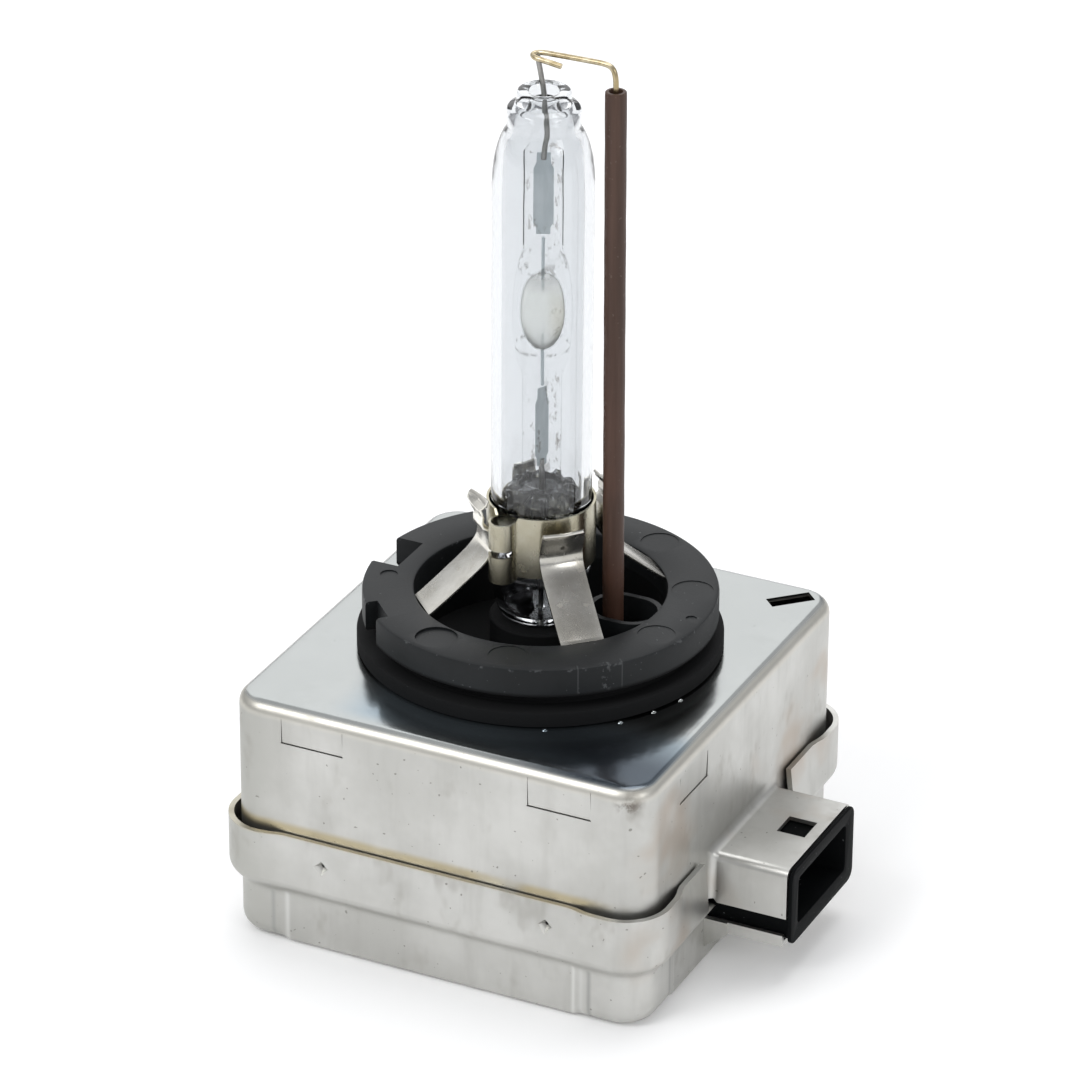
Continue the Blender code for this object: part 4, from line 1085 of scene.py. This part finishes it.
def makeHousing():
    h = housing
    (ya, yb), (za, zb), (xa, xb, xc), g = h["y"], h["z"], h["x"], h["gap"]
    obj = newBlock("plugHousing", (xa, ya + g, za + g), (xb, yb - g, zb - g))
    openMesh(obj)
    pick(obj, "FACE", lambda at, n: n.x > 0.9)
    bpy.ops.mesh.extrude_region_move(TRANSFORM_OT_translate={"value": ((xc - xb) * mm, 0, 0)})
    closeMesh()
    rim = newBlock("rimBlock", (xb - 0.05, ya + 0.02, za + 0.02), (xc, yb - 0.02, zb - 0.02))
    openMesh(rim)
    roundAlong(rim, 0, 1.1, 7)
    pick(rim, "EDGE", lambda at, way: at.x > xc - 0.01)
    bevelPicked(0.12, 3)
    closeMesh()
    carve(obj, rim, "UNION")
    low, high = h["mouth"]
    mouth = newBlock("mouthCutter", low, high)
    openMesh(mouth)
    roundAlong(mouth, 0, 0.5, 4)
    closeMesh()
    carve(obj, mouth)
    middle, level, w = (ya + yb) / 2, (low[2] + high[2]) / 2, h["pinWay"]
    for i in range(4):
        y = middle + h["pinStep"] * (i - 1.5)
        carve(obj, newBlock("wayCutter", (xa - 1, y - w, level - w), (low[0] + 1, y + w, level + w)))
    softenEdges(obj, 0.06, 60)
    plastic = blackPlasticFinish("plugPlastic", gloss=0.03, deep=0.35)
    finishPiece(obj, plastic, "connector_plastic", "connector_housing")


# tones, grain, roughness, metallic and stretch of what sits inside the can, and the solids it finishes
hiddenKinds = {
    "innerPlastic": (((0.022, 0.023, 0.024), (0.040, 0.042, 0.044), 1200, 0.42), ("igniter_frame", "bobbin")),
    "boardLaminate": (((0.030, 0.13, 0.050), (0.060, 0.21, 0.085), 500, 0.38), ("circuit_board",)),
    "ferriteCore": (((0.050, 0.050, 0.052), (0.095, 0.093, 0.090), 1500, 0.55), ("transformer_core",)),
    "filmCase": (((0.05, 0.10, 0.32), (0.08, 0.15, 0.42), 700, 0.30), ("capacitor",)),
    "enamelCopper": (((0.42, 0.16, 0.06), (0.72, 0.34, 0.16), 2400, 0.28, 1.0, (1, 0.2, 1)),
                     ("secondary_winding", "primary_winding")),
    "potteryWhite": (((0.66, 0.64, 0.58), (0.82, 0.80, 0.75), 900, 0.45), ("spark_gap_body", "resistor")),
}


def finishHidden():
    kinds = [(plainFinish(name, *look), solids) for name, (look, solids) in hiddenKinds.items()]
    kinds.append((springSteelFinish("terminalSteel"),
                  ("spark_gap_cap_1", "spark_gap_cap_2", "high_voltage_terminal", "return_terminal")))
    kinds.append((wireFinish("contactMetal", (0.60, 0.58, 0.52), (0.78, 0.76, 0.70)),
                  ["connector_pin_%d" % i for i in range(1, 5)]))
    for material, solids in kinds:
        for name in solids:
            slots = nodes[name].data.materials
            slots.clear()
            slots.append(material)


def makeStage():
    dropSelection()
    bpy.ops.mesh.primitive_circle_add(vertices=128, radius=2.5, fill_type="NGON", location=(0, 0, -0.00005))
    floor = bpy.context.active_object
    floor.name = "floor"
    fixed = {"Roughness": 0.9, "Specular IOR Level": 0.1, "Emission Color": (1, 1, 1, 1),
             "Emission Strength": 0.10}
    material, shader, place = newFinish("paleFloor", fixed)
    tone = place.noise(3, 2).tint((0.93, 0.93, 0.93), (0.95, 0.95, 0.95))
    plug(shader, {"Base Color": tone})
    floor.data.materials.append(material)
    world = bpy.data.worlds.new("studio")
    bpy.context.scene.world = world
    world.use_nodes = True
    tree = world.node_tree
    way = Wire(tree).node("ShaderNodeTexCoord", {}, {}, "Generated")
    up = axes(way)[2]
    stops = [(0.0, (0.55, 0.55, 0.56)), (0.5, (0.30, 0.31, 0.33)), (0.62, (0.62, 0.63, 0.65)),
             (0.8, (0.95, 0.96, 0.98))]
    sky = up.node("ShaderNodeValToRGB", {"stops": stops}, {"Fac": up * 0.5 + 0.5})
    # a dark flag in the sky, high on the right
    towards = {0: way, 1: (0.50, -0.05, 0.865)}
    flag = way.node("ShaderNodeVectorMath", {"operation": "DOT_PRODUCT"}, towards, "Value").ramp(0.86, 0.97)
    sky = (flag * 0.75).tint(sky, (0.10, 0.10, 0.11))
    seen = up.node("ShaderNodeLightPath", {}, {}, "Is Camera Ray")
    back = tree.nodes["Background"]
    tree.links.new(seen.tint(sky, (1, 1, 1)).socket, back.inputs["Color"])
    back.inputs["Strength"].default_value = 0.8
    bpy.context.scene.view_settings.view_transform = "Standard"


addCamera(cameraPlace)
addLights(softBoxes)
makeStage()
print("camera, lights and floor are set")
finishHidden()
makeTube()
makeBurner()
makeFoils()
makeLeads()
makeReturn()
print("tube, burner and wires are made")
makeClamp()
for number in strap["angles"]:
    makeStrap(number)
print("clamp and straps are made")
makeBase()
print("black base is made")
makeTopCan()
makeBottomCover()
makeHousing()
print("can and connector are made")
